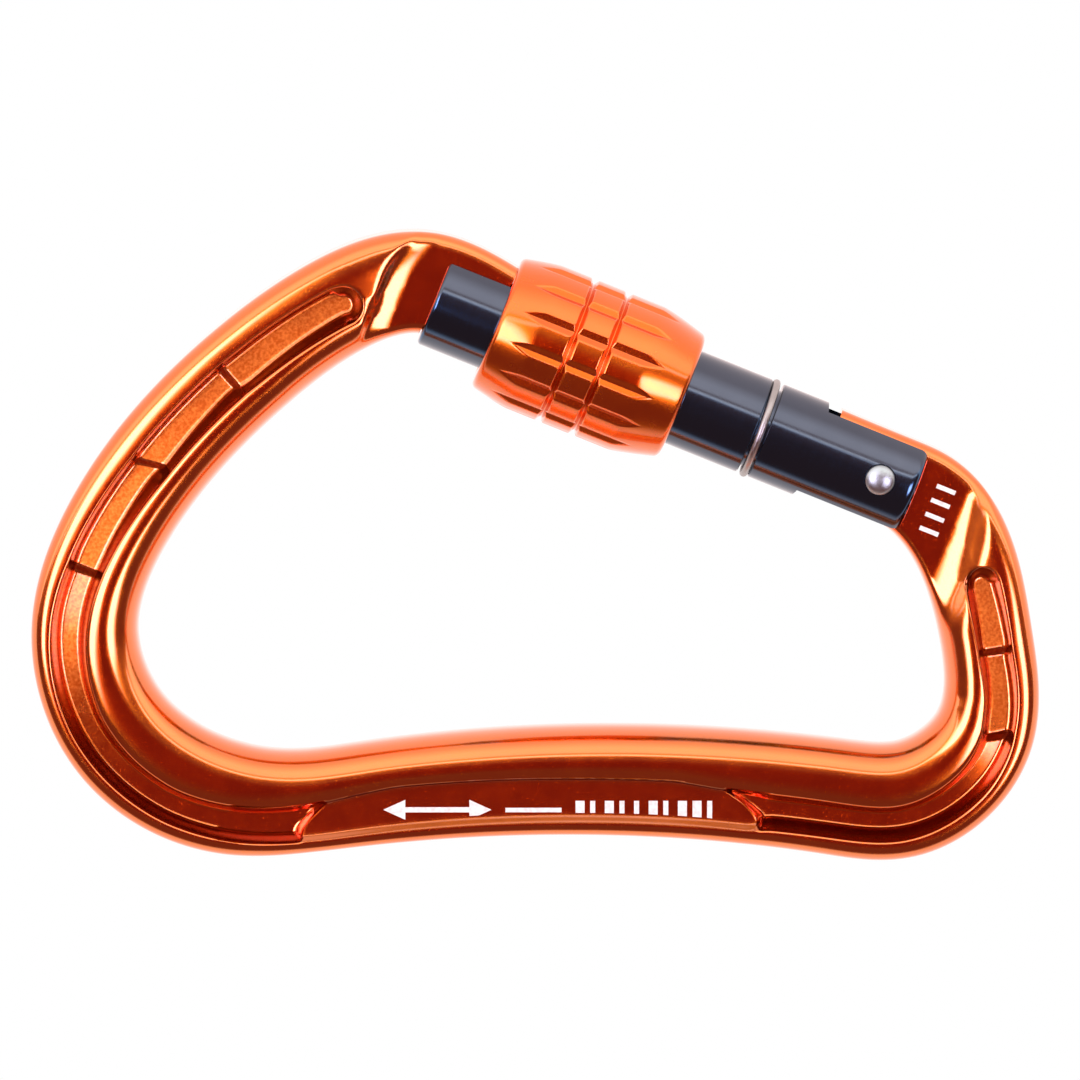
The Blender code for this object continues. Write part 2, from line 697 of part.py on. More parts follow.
def build_sleeve(finish, gate_axis):
    pitch = 2 * math.pi / FLUTE_COUNT
    within = [math.radians(a) for a in (-FLUTE_HALF, 0.0, FLUTE_HALF, 180.0 / FLUTE_COUNT)]
    offsets = [(FLUTE_FIRST + k * pitch + a, a) for k in range(FLUTE_COUNT) for a in within]
    rings = []
    for along, in_groove in sleeve_rings():
        rings.append([(along, sleeve_radius(along, a, in_groove), b) for b, a in offsets])
    bore_mouth = SLEEVE_BORE_RADIUS + SLEEVE_BORE_CHAMFER
    bore = (
        (SLEEVE_LENGTH, bore_mouth),
        (SLEEVE_LENGTH - SLEEVE_BORE_CHAMFER, SLEEVE_BORE_RADIUS),
        (SLEEVE_BORE_CHAMFER, SLEEVE_BORE_RADIUS),
        (0.0, bore_mouth),
    )
    for along, radius in bore:
        rings.append([(along, radius, b) for b, a in offsets])
    vertices = []
    faces = []
    count = len(offsets)
    for ring in rings:
        for along, radius, angle in ring:
            across = -radius * math.cos(angle)
            vertices.append((SLEEVE_START + along, across, radius * math.sin(angle)))
    for j in range(len(rings)):
        following = (j + 1) % len(rings)
        for k in range(count):
            after = (k + 1) % count
            quad = [j * count + k, j * count + after]
            quad += [following * count + after, following * count + k]
            faces.append(quad)
    return add_object("locking_sleeve", vertices, faces, finish, gate_axis)


def main():
    for old in list(bpy.data.objects):
        bpy.data.objects.remove(old, do_unlink=True)
    gate_axis = bpy.data.objects.new("gate_axis", None)
    bpy.context.scene.collection.objects.link(gate_axis)
    gate_axis.location = (HINGE_X * MM, 0.0, HINGE_Z * MM)
    gate_axis.rotation_euler = (0.0, -GATE_TILT, math.pi)

    orange = material("orange_anodised", (0.75, 0.19, 0.02), 1.0, 0.25)
    gunmetal = material("gunmetal_anodised", (0.07, 0.08, 0.11), 1.0, 0.3)
    steel = material("bright_steel", (0.7, 0.7, 0.7), 1.0, 0.3)

    build_body(orange, gate_axis)
    build_gate(gunmetal, gate_axis)
    build_sleeve(orange, gate_axis)
    build_stop_ring(steel, gate_axis)
    build_rivet(steel, gate_axis)
    build_plunger(steel, gate_axis)
    build_spring(steel, gate_axis)


main()
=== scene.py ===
"""Looks of the locking carabiner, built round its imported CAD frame.

Shapes are given in millimetres and the meshes are in metres. The ring lies in the XZ plane with
+X towards the hinge end, +Z from the spine to the gate, and -Y towards the viewer. Pieces of the
gate are made in the gate's own frame: x ("along") runs from the rivet to the nose, z ("above")
points out of the ring.
"""
import math

import bmesh
import bpy
import numpy as np
from mathutils import Euler, Matrix, Vector


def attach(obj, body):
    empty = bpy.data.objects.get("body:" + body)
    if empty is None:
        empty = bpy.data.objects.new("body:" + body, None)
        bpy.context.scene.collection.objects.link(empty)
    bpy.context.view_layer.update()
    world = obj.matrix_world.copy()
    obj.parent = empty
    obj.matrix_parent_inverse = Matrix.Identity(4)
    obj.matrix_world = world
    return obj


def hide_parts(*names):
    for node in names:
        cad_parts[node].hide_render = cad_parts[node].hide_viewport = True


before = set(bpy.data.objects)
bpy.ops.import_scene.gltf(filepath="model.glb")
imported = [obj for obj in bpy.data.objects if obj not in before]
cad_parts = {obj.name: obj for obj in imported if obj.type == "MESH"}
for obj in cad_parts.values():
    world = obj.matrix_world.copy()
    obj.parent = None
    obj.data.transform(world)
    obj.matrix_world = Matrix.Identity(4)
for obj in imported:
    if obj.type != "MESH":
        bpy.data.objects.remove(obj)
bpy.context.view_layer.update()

MM = 0.001

# Gate frame
HINGE_X = 34.3
HINGE_Z = 38.3
GATE_TILT = math.radians(22.0)

# Gate tube and its slots
TUBE_RADIUS = 4.95
GATE_TAIL = -3.8
GATE_TIP = 47.8
TAIL_ROUND = 0.9
TIP_BEVEL = 0.4
HINGE_SLOT_WIDTH = 5.2
HINGE_SLOT_END = 6.65
HINGE_SLOT_RADIUS = 17.0
NOSE_SLOT_WIDTH = 6.0
NOSE_SLOT_END = 40.9
NOSE_SLOT_FLOOR = -3.5
KEY_MIDDLE = 44.5
KEY_TOP = -2.65
KEY_BASE_HALF = 0.75
KEY_TOP_HALF = 0.4
BORE_RADIUS = 2.05
BORE_END = 21.0

# How far the cutters reach: through the body, through the gate and past the tube
THROUGH_HALF = 6.0
HOLE_HALF = 9.0
SLOT_REACH = 7.0

# Tangs of the body
HINGE_TANG_THICKNESS = 5.0
HINGE_TANG_END = 5.8
NOSE_TANG_THICKNESS = 5.7
NOSE_TANG_REACH = 41.74
NOSE_TANG_FLOOR = -3.3
LIP_GAP = 0.02
LIP_ABOVE = 4.0
NOSE_SHOULDER = 47.95
NOTCH_TOP = -2.4
NOTCH_TOP_HALF = 0.6
NOTCH_BASE_HALF = 1.2
TANG_CHAMFER = 0.6
TANG_EDGE_ROUND = 1.3
CAM_RADIUS = 1.3
CAM_SWEEP = math.radians(34.0)

# Plunger and spring
PLUNGER_RADIUS = 2.0
PLUNGER_FACE = 5.9
PLUNGER_SHOULDER = 9.5
PLUNGER_STEM_END = 12.5
PLUNGER_STEM_RADIUS = 1.1
SPRING_COIL_RADIUS = 1.55
SPRING_WIRE_RADIUS = 0.25
SPRING_TURNS = 7
SPRING_GAP = 0.1

# Rivet
RIVET_RADIUS = 1.2
RIVET_HOLE_RADIUS = 1.25
RIVET_HEAD_RADIUS = 1.5
RIVET_HEAD_BASE = 4.5
RIVET_HEAD_TOP = 5.45
HEAD_SEAT_RADIUS = 1.6
HEAD_SEAT_DEPTH = 4.45

# Stop ring
RING_ALONG = 12.8
RING_OUTER_RADIUS = 5.17
RING_WIRE_RADIUS = 0.38
RING_TILT = math.radians(1.6)
RING_SPLIT = math.radians(14.0)
GROOVE_WIDTH = 1.15
GROOVE_RADIUS = 4.2
GROOVE_EDGE = 0.12

# Locking sleeve
SLEEVE_START = 21.2
SLEEVE_LENGTH = 20.0
SLEEVE_BORE_RADIUS = 5.05
SLEEVE_HINGE_END = (6.45, 5.0)
SLEEVE_NOSE_END = (6.85, 4.1)
SLEEVE_MIDDLE_RADIUS = 7.65
SLEEVE_EDGE_ROUND = 0.5
SLEEVE_GROOVES = (8.8, 12.4)
SLEEVE_GROOVE_HALF = 0.4
SLEEVE_GROOVE_DEPTH = 0.6
BARREL_POWER = 1.25
# Points of both lips: distance into the sleeve, and out from the bore
SLEEVE_LIPS = ((0.0, 0.9), (0.0, 0.45), (0.12, 0.12), (0.45, 0.0))
FLUTE_COUNT = 14
FLUTE_FLOOR_RADIUS = 7.32
FLUTE_SLOPE = math.radians(25.5)
FLUTE_FIRST = math.radians(6.4)
FLUTE_BLEND = 0.05

# Body section
INNER_HALF_DEPTH = 5.0
INNER_ROUND_SPAN = 3.8
INNER_ROUND_POWER = 2.3
OUTER_HALF_DEPTH = 4.6
OUTER_ROUND = 1.4
OUTER_CROWN_RADIUS = 5.6
RIM_CROWN = 0.26
RIM_CROWN_WIDTH = 1.9
CHANNEL_HALF_DEPTH = 2.1
POCKET_HALF_DEPTH = 3.1
LABEL_HALF_DEPTH = 4.3
FLOOR_TILT = 0.3
FLOOR_TILT_OUT = (36.0, 46.0)
FLOOR_TILT_IN = (130.0, 142.0)

# Centreline: x, z and the bar's width; at its two ends along, above and width
SPINE_KNOTS = (
    (38.5, 36.5, 9.6),
    (45.0, 22.5, 9.3),
    (44.5, 12.0, 10.2),
    (37.0, 6.0, 11.5),
    (30.0, 6.2, 11.5),
    (-16.5, 6.6, 10.2),
    (-23.5, 5.8, 10.2),
    (-30.0, 6.0, 11.1),
    (-41.0, 12.0, 11.5),
    (-45.0, 23.0, 10.7),
    (-41.5, 34.0, 10.6),
    (-28.0, 49.6, 10.5),
    (-21.5, 54.4, 10.3),
)
HINGE_KNOTS = ((HINGE_TANG_END, 0.3, 9.1), (-2.0, 0.25, 9.1))
NOSE_KNOTS = ((49.5, 0.95, 10.3), (NOSE_TANG_REACH - 0.85, 0.75, 10.0))

# Distance from the hinge end, then offsets of inner rim, floor's two edges and outer rim
CHANNEL_ROWS = (
    (19.3, -1.30, -0.30, 1.65, 2.40),
    (27.5, -1.00, -0.65, 1.95, 2.25),
    (28.2, -1.00, -0.40, 1.60, 2.25),
    (35.2, -0.35, -0.15, 2.30, 2.70),
    (36.3, -0.25, 0.30, 2.20, 2.90),
    (40.0, 0.10, 0.60, 2.40, 3.40),
    (48.0, 0.40, 0.90, 2.65, 3.85),
    (60.5, 0.30, 0.90, 2.70, 3.90),
    (62.0, 0.25, 0.55, 3.40, 4.20),
    (66.0, 0.10, 0.30, 3.30, 4.15),
    (70.0, -0.35, -0.15, 3.25, 4.15),
    (80.0, -0.40, -0.20, 3.20, 4.10),
    (98.0, -0.65, -0.45, 3.05, 3.90),
    (103.0, -0.20, 0.00, 3.10, 3.85),
    (108.0, 0.20, 0.70, 3.20, 3.85),
    (120.0, 0.75, 1.30, 3.30, 4.10),
    (130.0, 0.50, 1.05, 3.00, 3.90),
    (140.0, -0.35, 0.25, 2.50, 3.20),
    (144.6, -0.70, -0.05, 2.10, 2.85),
    (145.6, -0.80, -0.25, 2.30, 2.80),
    (156.3, -1.45, -0.35, 2.05, 2.40),
    (157.8, -1.50, -0.70, 2.10, 2.40),
    (168.0, -1.55, -0.35, 2.00, 2.35),
    (169.5, -1.60, -0.90, 2.00, 2.30),
    (184.4, -2.20, -1.00, 1.50, 1.80),
)
CHANNEL_START = 19.3
CHANNEL_END = 184.0
END_WALL = 1.0
ROW_SMOOTHING = 0.8

# Steps of the floor: distances at the floor's outer edge and at its inner edge
HINGE_RISERS = ((27.6, 27.6), (35.2, 36.2))
LABEL_ENDS = ((61.5, 65.0), (107.6, 105.0))
NOSE_RISERS = ((145.0, 145.0), (156.6, 157.8), (168.8, 168.8))
RISER_LENGTH = 0.6
SLANT_REACH = 8.0
RIM_FILLET = 0.16
FLOOR_FILLET = 0.22

# Ramps from the tangs' flats up to the full thickness
HINGE_RAMP_START = -8.6
HINGE_RAMP_WIDTH = 1.5
HINGE_RAMP_WIDENING = 0.2
HINGE_RAMP_WIDTHS = (1.0, 2.8)
HINGE_RAMP_UNTIL = CHANNEL_START + 14.0
NOSE_RAMP_START = 50.9
NOSE_RAMP_BOW = 0.055
NOSE_RAMP_BOW_ABOVE = 0.5
NOSE_RAMP_WIDTH = 2.1
NOSE_RAMP_FROM = CHANNEL_END - 12.0
RAMP_FIRST_SLOPE = 0.13
RAMP_LAST_SLOPE = 0.36
HINGE_STEEP_SLOPE = 0.9
NOSE_STEEP_SLOPE = 2.0
STEEP_BLEND = 0.35
RAMP_BLEND = 0.7
RAMP_DOME = 0.13
RAMP_DOME_REACH = 7.0

# Printed marks: left, right, low and high edges on the spine's panel
MARK_RISE = 0.012
LABEL_ARROW = (-15.2, -4.4, 4.2, 6.2)
LABEL_LINE = (-3.0, 2.6, 4.95, 5.4)
LABEL_BARS = (4.0, 18.6, 4.3, 6.1)
BAR_WIDTHS = (0.9, 0.5, 0.9, 0.5, 0.5, 0.9, 0.5, 0.9, 0.9, 0.5)
# On the hinge tang: middle and length along, first tick's height, step between ticks, width
TANG_TICKS = (-6.6, 2.0, -3.3, 1.5, 0.45)
TICK_COUNT = 4

# Meshing of the body and of one flute of the sleeve
STATION_STEP = 0.5
DENSE_STEP = 0.16
DENSE_STRETCHES = ((9.0, 21.5), (182.0, 192.0))
DENSE_MARGIN = 1.2
COLUMNS = (16, 5, 7, 10, 7, 14)
SIDE_SHARES = (0.94, 0.5, 0.0, -0.5, -0.94)
CUT_EDGE_ANGLE = math.radians(28)
LINE_SAMPLES = 8000
FLUTE_COLUMNS = (0.0, 0.35, 0.8, 1.5, 2.3, 3.1, 3.8, 4.3, 4.7, 5.0, 5.4, 6.2, 8.0, 10.5)


# ---------------- geometry helpers


def gate_point(along, above):
    """The (x, z) of a point given in the gate's frame."""
    x = HINGE_X - along * math.cos(GATE_TILT) + above * math.sin(GATE_TILT)
    z = HINGE_Z + along * math.sin(GATE_TILT) + above * math.cos(GATE_TILT)
    return x, z


def gate_coordinates(x, z):
    """Points of the XZ plane as (along, above) in the gate's frame."""
    dx = x - HINGE_X
    dz = z - HINGE_Z
    along = dz * math.sin(GATE_TILT) - dx * math.cos(GATE_TILT)
    above = dx * math.sin(GATE_TILT) + dz * math.cos(GATE_TILT)
    return along, above


def gate_matrix():
    turn = Euler((0.0, -GATE_TILT, math.pi)).to_matrix().to_4x4()
    return Matrix.Translation((HINGE_X * MM, 0.0, HINGE_Z * MM)) @ turn


def blend(value, start, end):
    """0 before start, 1 after end, and straight between; arrays are fine."""
    return np.clip((value - start) / (end - start), 0.0, 1.0)


def eased(value, start, end):
    """As blend, with a smooth start and end."""
    part = blend(value, start, end)
    return part * part * (3.0 - 2.0 * part)


def soft_ramp(value, round_low, round_high):
    """0 below 0, 1 above 1 and straight between, with its two corners rounded."""
    low = np.where(value < -round_low, 0.0, (value + round_low) ** 2 / (4 * round_low))
    low = np.where(value > round_low, value, low)
    beyond = 1.0 - value
    high = np.where(beyond < -round_high, 0.0, (beyond + round_high) ** 2 / (4 * round_high))
    high = np.where(beyond > round_high, beyond, high)
    return np.where(value < 0.5, np.clip(low, 0.0, 1.0), 1.0 - np.clip(high, 0.0, 1.0))


def soft_min(a, b, reach):
    """The smaller of two heights, blended where they differ by less than reach."""
    part = np.clip(0.5 + 0.5 * (b - a) / reach, 0.0, 1.0)
    return b + (a - b) * part - reach * part * (1.0 - part)


def natural_spline(knots, samples):
    """A natural cubic spline through the knots, sampled evenly in its chord parameter."""
    points = np.array(knots)
    steps = np.hypot(*np.diff(points[:, :2], axis=0).T)
    chord = np.concatenate([[0.0], np.cumsum(steps)])
    count = len(points)
    system = np.eye(count)
    right = np.zeros_like(points)
    for i in range(1, count - 1):
        before, after = steps[i - 1], steps[i]
        system[i, i - 1 : i + 2] = before, 2 * (before + after), after
        slope_after = (points[i + 1] - points[i]) / after
        slope_before = (points[i] - points[i - 1]) / before
        right[i] = 6 * (slope_after - slope_before)
    bend = np.linalg.solve(system, right)
    at = np.linspace(0.0, chord[-1], samples)
    i = np.clip(np.searchsorted(chord, at, side="right") - 1, 0, count - 2)
    step = steps[i][:, None]
    ahead = (chord[i + 1] - at)[:, None]
    behind = (at - chord[i])[:, None]
    curve = (bend[i] * ahead**3 + bend[i + 1] * behind**3) / (6 * step)
    curve += (points[i] / step - bend[i] * step / 6) * ahead
    curve += (points[i + 1] / step - bend[i + 1] * step / 6) * behind
    return curve


def add_piece(name, vertices, faces, material, slot, matrix=None):
    """A smooth-shaded piece from vertices in millimetres, given in the frame of matrix."""
    mesh = bpy.data.meshes.new(name)
    mesh.from_pydata([tuple(c * MM for c in v) for v in vertices], [], faces)
    shaped = bmesh.new()
    shaped.from_mesh(mesh)
    bmesh.ops.recalc_face_normals(shaped, faces=shaped.faces)
    shaped.to_mesh(mesh)
    shaped.free()
    mesh.shade_smooth()
    piece = bpy.data.objects.new(name, mesh)
    bpy.context.scene.collection.objects.link(piece)
    if matrix is not None:
        piece.matrix_world = matrix
    if material:
        mesh.materials.append(material)
    return piece


def stand_for(piece, body, node, sharp_from=None):
    """Shows a piece in place of a CAD node, on its body, sharp where it bends past an angle."""
    if sharp_from:
        piece.data.set_sharp_from_angle(angle=math.radians(sharp_from))
    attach(piece, body)
    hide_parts(node)


def cut_away(piece, cutters):
    """Subtracts the cutters from the piece, applies the result and removes the cutters."""
    for cutter in cutters:
        modifier = piece.modifiers.new(cutter.name, "BOOLEAN")
        modifier.operation = "DIFFERENCE"
        modifier.solver = "EXACT"
        modifier.object = cutter
    graph = bpy.context.evaluated_depsgraph_get()
    graph.update()
    cut_mesh = bpy.data.meshes.new_from_object(piece.evaluated_get(graph))
    piece.modifiers.clear()
    old = piece.data
    piece.data = cut_mesh
    bpy.data.meshes.remove(old)
    for cutter in cutters:
        bpy.data.objects.remove(cutter, do_unlink=True)


def turned(profile, segments, axis="x"):
    """Vertices and faces of a profile of (distance, radius) turned about the x or y axis."""
    vertices = []
    faces = []
    rings = []
    for distance, radius in profile:
        start = len(vertices)
        count = 1 if radius == 0 else segments
        rings.append((start, count))
        for k in range(count):
            angle = 2 * math.pi * k / segments
            across = radius * math.cos(angle)
            up = radius * math.sin(angle)
            point = (distance, across, up) if axis == "x" else (across, distance, up)
            vertices.append(point)
    for (first, count), (second, next_count) in zip(rings, rings[1:]):
        for k in range(segments):
            after = (k + 1) % segments
            ring = [first + k % count, first + after % count]
            ring += [second + after % next_count, second + k % next_count]
            faces.append(list(dict.fromkeys(ring)))
    for start, count in (rings[0], rings[-1]):
        if count > 1:
            faces.append([start + k for k in range(count)])
    return vertices, faces


def grid_faces(rows, count, closed=False):
    """Quads between successive rings of points, and from the last to the first if closed."""
    faces = []
    for j in range(rows if closed else rows - 1):
        following = (j + 1) % rows
        for k in range(count):
            after = (k + 1) % count
            quad = [j * count + k, j * count + after]
            quad += [following * count + after, following * count + k]
            faces.append(quad)
    return faces


def end_faces(rows, count):
    """Faces that close the first and the last ring of points."""
    return [[start + k for k in range(count)] for start in (0, (rows - 1) * count)]


def prism(outline, half_thickness):
    """An outline of (x, z) points extruded both ways along y."""
    count = len(outline)
    vertices = [(x, -half_thickness, z) for x, z in outline]
    vertices += [(x, half_thickness, z) for x, z in outline]
    faces = [list(range(count)), list(range(count, 2 * count))]
    for k in range(count):
        after = (k + 1) % count
        faces.append([k, after, count + after, count + k])
    return vertices, faces


def gate_cutter(name, vertices, faces):
    return add_piece(name, vertices, faces, None, None, gate_matrix())


def coiled_wire(path, coil_radius, wire_radius, sides):
    """A round wire wound about the x axis; the path gives (distance, angle) at each point."""
    vertices = []
    for distance, turn in path:
        for k in range(sides):
            angle = 2 * math.pi * k / sides
            reach = coil_radius + wire_radius * math.sin(angle)
            along = distance + wire_radius * math.cos(angle)
            vertices.append((along, reach * math.cos(turn), reach * math.sin(turn)))
    return vertices, grid_faces(len(path), sides) + end_faces(len(path), sides)


# ---------------- body


class Centreline:
    """The body's centreline, read by distance from its hinge end."""

    def __init__(self):
        knots = [(*gate_point(a, b), w) for a, b, w in HINGE_KNOTS]
        knots += SPINE_KNOTS
        knots += [(*gate_point(a, b), w) for a, b, w in NOSE_KNOTS]
        self.samples = natural_spline(knots, LINE_SAMPLES)
        steps = np.hypot(*np.diff(self.samples[:, :2], axis=0).T)
        self.distance = np.concatenate([[0.0], np.cumsum(steps)])
        self.length = self.distance[-1]
        self.heading = np.gradient(self.samples[:, :2], self.distance, axis=0)

    def at(self, distance):
        """Points, directions out of the ring and widths at an array of distances."""
        x, z, width = (np.interp(distance, self.distance, s) for s in self.samples.T)
        dx, dz = (np.interp(distance, self.distance, h) for h in self.heading.T)
        size = np.hypot(dx, dz)
        return x, z, -dz / size, dx / size, width


def channel_rows(distance):
    """The four channel offsets at an array of distances, softened along the body."""
    rows = np.array(CHANNEL_ROWS)
    shifts = np.linspace(-ROW_SMOOTHING, ROW_SMOOTHING, 9)
    total = 0.0
    for shift in shifts:
        read = [np.interp(distance + shift, rows[:, 0], column) for column in rows[:, 1:].T]
        total = total + np.array(read)
    return total / len(shifts)


def rise_of_pockets(distance, part, risers, first, side):
    """0 to 1: how far the floor has risen since the last step; part runs outer 0 to inner 1."""
    rise = np.zeros_like(distance)
    start = np.full_like(distance, side * first)
    for outer, inner in risers:
        riser = side * (outer + (inner - outer) * part)
        gone = side * distance
        up = np.clip((gone - start) / (riser - start), 0.0, 1.0)
        drop = soft_ramp((gone - riser) / RISER_LENGTH, 0.25, 0.4)
        inside = (gone > start) & (gone < riser + 1.5 * RISER_LENGTH)
        rise = np.where(inside, np.maximum(rise, up * (1.0 - drop)), rise)
        start = riser + RISER_LENGTH
    return rise


def floor_half_depth(distance, part):
    """Half the web's thickness at a place of the channel floor."""
    hinge = rise_of_pockets(distance, part, HINGE_RISERS, CHANNEL_START, 1)
    nose = rise_of_pockets(distance, part, reversed(NOSE_RISERS), CHANNEL_END, -1)
    rise = np.maximum(hinge, nose)
    pocket = CHANNEL_HALF_DEPTH + (POCKET_HALF_DEPTH - CHANNEL_HALF_DEPTH) * rise
    (right_outer, right_inner), (left_outer, left_inner) = LABEL_ENDS
    bow = part**2
    right = right_outer + (right_inner - right_outer) * bow
    left = left_outer + (left_inner - left_outer) * bow
    raised = soft_ramp((distance - right) / RISER_LENGTH + 1.0, 0.4, 0.25)
    raised = np.minimum(raised, soft_ramp((left - distance) / RISER_LENGTH + 1.0, 0.4, 0.25))
    return pocket + (LABEL_HALF_DEPTH - pocket) * raised


def top_half_depth(offset, half, edges):
    """Half the thickness of the two flanges, and of the plain stretch between them."""
    gap = np.clip((INNER_ROUND_SPAN - half - offset) / INNER_ROUND_SPAN, 0.0, 1.0)
    inner = INNER_HALF_DEPTH * (1.0 - gap**INNER_ROUND_POWER) ** (1.0 / INNER_ROUND_POWER)
    flange = np.maximum(0.0, offset - edges[3])
    outer = OUTER_HALF_DEPTH - flange**2 / (2 * OUTER_CROWN_RADIUS)
    corner = np.minimum(OUTER_ROUND, half - edges[3] - 0.05)
    into = np.clip(offset - (half - corner), 0.0, corner)
    outer = outer - corner + np.sqrt(np.maximum(0.0, corner**2 - into**2))
    part = eased(offset, edges[0], edges[3])
    crown = RIM_CROWN * blend(offset, edges[0] - RIM_CROWN_WIDTH, edges[0]) ** 2
    return inner + (outer - inner) * part - crown * (1.0 - part)


def channel_fraction(distance, offset, edges):
    """0 on the flanges, 1 on the channel's floor, with rounded rims and rounded ends."""
    inner = soft_fraction(offset - edges[0], edges[1] - edges[0])
    outer = soft_fraction(edges[3] - offset, edges[3] - edges[2])
    radius, middle, short = channel_end(distance, edges)
    reach = radius - np.hypot(short, offset - middle)
    ends = soft_fraction(reach, np.full_like(reach, END_WALL))
    return np.where(short > 0.0, np.minimum(ends, 1.0), np.minimum(inner, outer))


def channel_end(distance, edges):
    """The rounded ends' radius and middle offset, and how far a place is into one of them."""
    gap = np.minimum(distance - CHANNEL_START, CHANNEL_END - distance)
    radius = (edges[3] - edges[0]) / 2
    return radius, (edges[3] + edges[0]) / 2, np.maximum(0.0, radius - gap)


def soft_fraction(into, wall):
    """How far down a wall of the given width a point is, with the two fillets."""
    return soft_ramp(into / wall, RIM_FILLET / wall, np.minimum(0.4, FLOOR_FILLET / wall))


def ramp_limit(flat, out, width, steepness):
    """Half thickness allowed past a tang's flat: a hollow of the given width, then a steep rise."""
    gone = np.maximum(0.0, out)
    hollow = RAMP_FIRST_SLOPE * gone
    hollow = hollow + (RAMP_LAST_SLOPE - RAMP_FIRST_SLOPE) * gone**2 / (2 * width)
    rise_before = (RAMP_FIRST_SLOPE + RAMP_LAST_SLOPE) * width / 2
    steep = rise_before + steepness * (out - width)
    rise = -soft_min(-hollow, -steep, STEEP_BLEND)
    dome = RAMP_DOME * (1.0 - blend(out - width, 0.0, RAMP_DOME_REACH)) ** 2
    return flat + rise, dome


def hinge_limit(along, above):
    width = np.clip(HINGE_RAMP_WIDTH - HINGE_RAMP_WIDENING * above, *HINGE_RAMP_WIDTHS)
    flat = HINGE_TANG_THICKNESS / 2
    return ramp_limit(flat, HINGE_RAMP_START - along, width, HINGE_STEEP_SLOPE)


def nose_limit(along, above):
    start = NOSE_RAMP_START - NOSE_RAMP_BOW * np.maximum(0.0, above - NOSE_RAMP_BOW_ABOVE) ** 2
    flat = NOSE_TANG_THICKNESS / 2
    return ramp_limit(flat, along - start, NOSE_RAMP_WIDTH, NOSE_STEEP_SLOPE)


def body_half_depth(distance, offset, half, x, z):
    """Half the body's thickness over arrays of places, and how far into the channel each is."""
    edges = channel_rows(distance)
    top = top_half_depth(offset, half, edges)
    part = 1.0 - blend(offset, edges[1], edges[2])
    level = eased(distance, *FLOOR_TILT_OUT) - eased(distance, *FLOOR_TILT_IN)
    tilt = FLOOR_TILT * (1.0 - level)
    floor = floor_half_depth(distance, part) + tilt * (part - 0.5)
    floor = np.minimum(floor, top)
    inside = channel_fraction(distance, offset, edges)
    depth = top + (floor - top) * inside
    along, above = gate_coordinates(x, z)
    gap = np.clip(TANG_EDGE_ROUND - (half - offset), 0.0, TANG_EDGE_ROUND)
    drop = TANG_EDGE_ROUND - np.sqrt(TANG_EDGE_ROUND**2 - gap**2)
    for limit_of, near in (
        (hinge_limit, distance < HINGE_RAMP_UNTIL),
        (nose_limit, distance > NOSE_RAMP_FROM),
    ):
        limit, dome = limit_of(along, above)
        ramp = soft_min(depth * (1.0 - dome * (1.0 - inside)), limit - drop, RAMP_BLEND)
        depth = np.where(near, ramp, depth)
    return np.maximum(depth, 0.0), inside


def slant(distance):
    """How far the inner end of a cross line is shifted along the body, to follow the slanted steps."""
    knots = [(0.0, 0.0)]
    for outer, inner in sorted((*HINGE_RISERS, *LABEL_ENDS, *NOSE_RISERS)):
        if outer == inner:
            knots.append((outer, 0.0))
            continue
        reach = min(SLANT_REACH, 4.0 * abs(inner - outer))
        knots += [(outer - reach, 0.0), (outer - 0.6, inner - outer)]
        knots += [(outer + 0.6, inner - outer), (outer + reach, 0.0)]
    places, shifts = np.array(sorted(knots)).T
    return np.interp(distance, places, shifts)


def body_stations(line):
    """Distances along the body, closer together where its shape changes."""
    dense = list(DENSE_STRETCHES)
    for outer, _ in (*HINGE_RISERS, *NOSE_RISERS, *LABEL_ENDS):
        dense.append((outer - DENSE_MARGIN, outer + DENSE_MARGIN))
    stations = [0.0]
    while stations[-1] < line.length - STATION_STEP:
        last = stations[-1]
        close = any(low <= last <= high for low, high in dense)
        stations.append(last + (DENSE_STEP if close else STATION_STEP))
    stations.append(line.length)
    return np.array(stations)


def column_parts():
    """0 at the outer edge of the channel's floor and 1 at its inner edge, for every column."""
    before = [1.0] * sum(COLUMNS[:3])
    floor = [1.0 - i / COLUMNS[3] for i in range(COLUMNS[3])]
    after = [0.0] * (sum(COLUMNS[4:]) + 1)
    return np.array(before + floor + after)


def column_offsets(distance, half):
    """Offsets of every column of points, from the inner edge to the outer edge."""
    edges = channel_rows(distance)
    radius, middle, short = channel_end(distance, edges)
    rim = np.sqrt(np.maximum(0.1**2, radius**2 - short**2))
    floor = np.sqrt(np.maximum(0.05**2, (radius - END_WALL) ** 2 - short**2))
    at_end = short > 0.0
    bounds = [
        -half,
        np.minimum(INNER_ROUND_SPAN - half, edges[0] - 0.4),
        np.where(at_end, middle - rim, edges[0]),
        np.where(at_end, middle - floor, edges[1]),
        np.where(at_end, middle + floor, edges[2]),
        np.where(at_end, middle + rim, edges[3]),
        half,
    ]
    columns = []
    for k, count in enumerate(COLUMNS):
        for i in range(count):
            part = (1.0 - math.cos(math.pi * i / count)) / 2
            if k == 0:
                part = 1.0 - math.cos(math.pi / 2 * i / count)
            if k == 3:
                part = i / count
            low = bounds[k][:, len(columns)]
            high = bounds[k + 1][:, len(columns)]
            columns.append(low + (high - low) * part)
    columns.append(half[:, -1])
    return np.array(columns).T


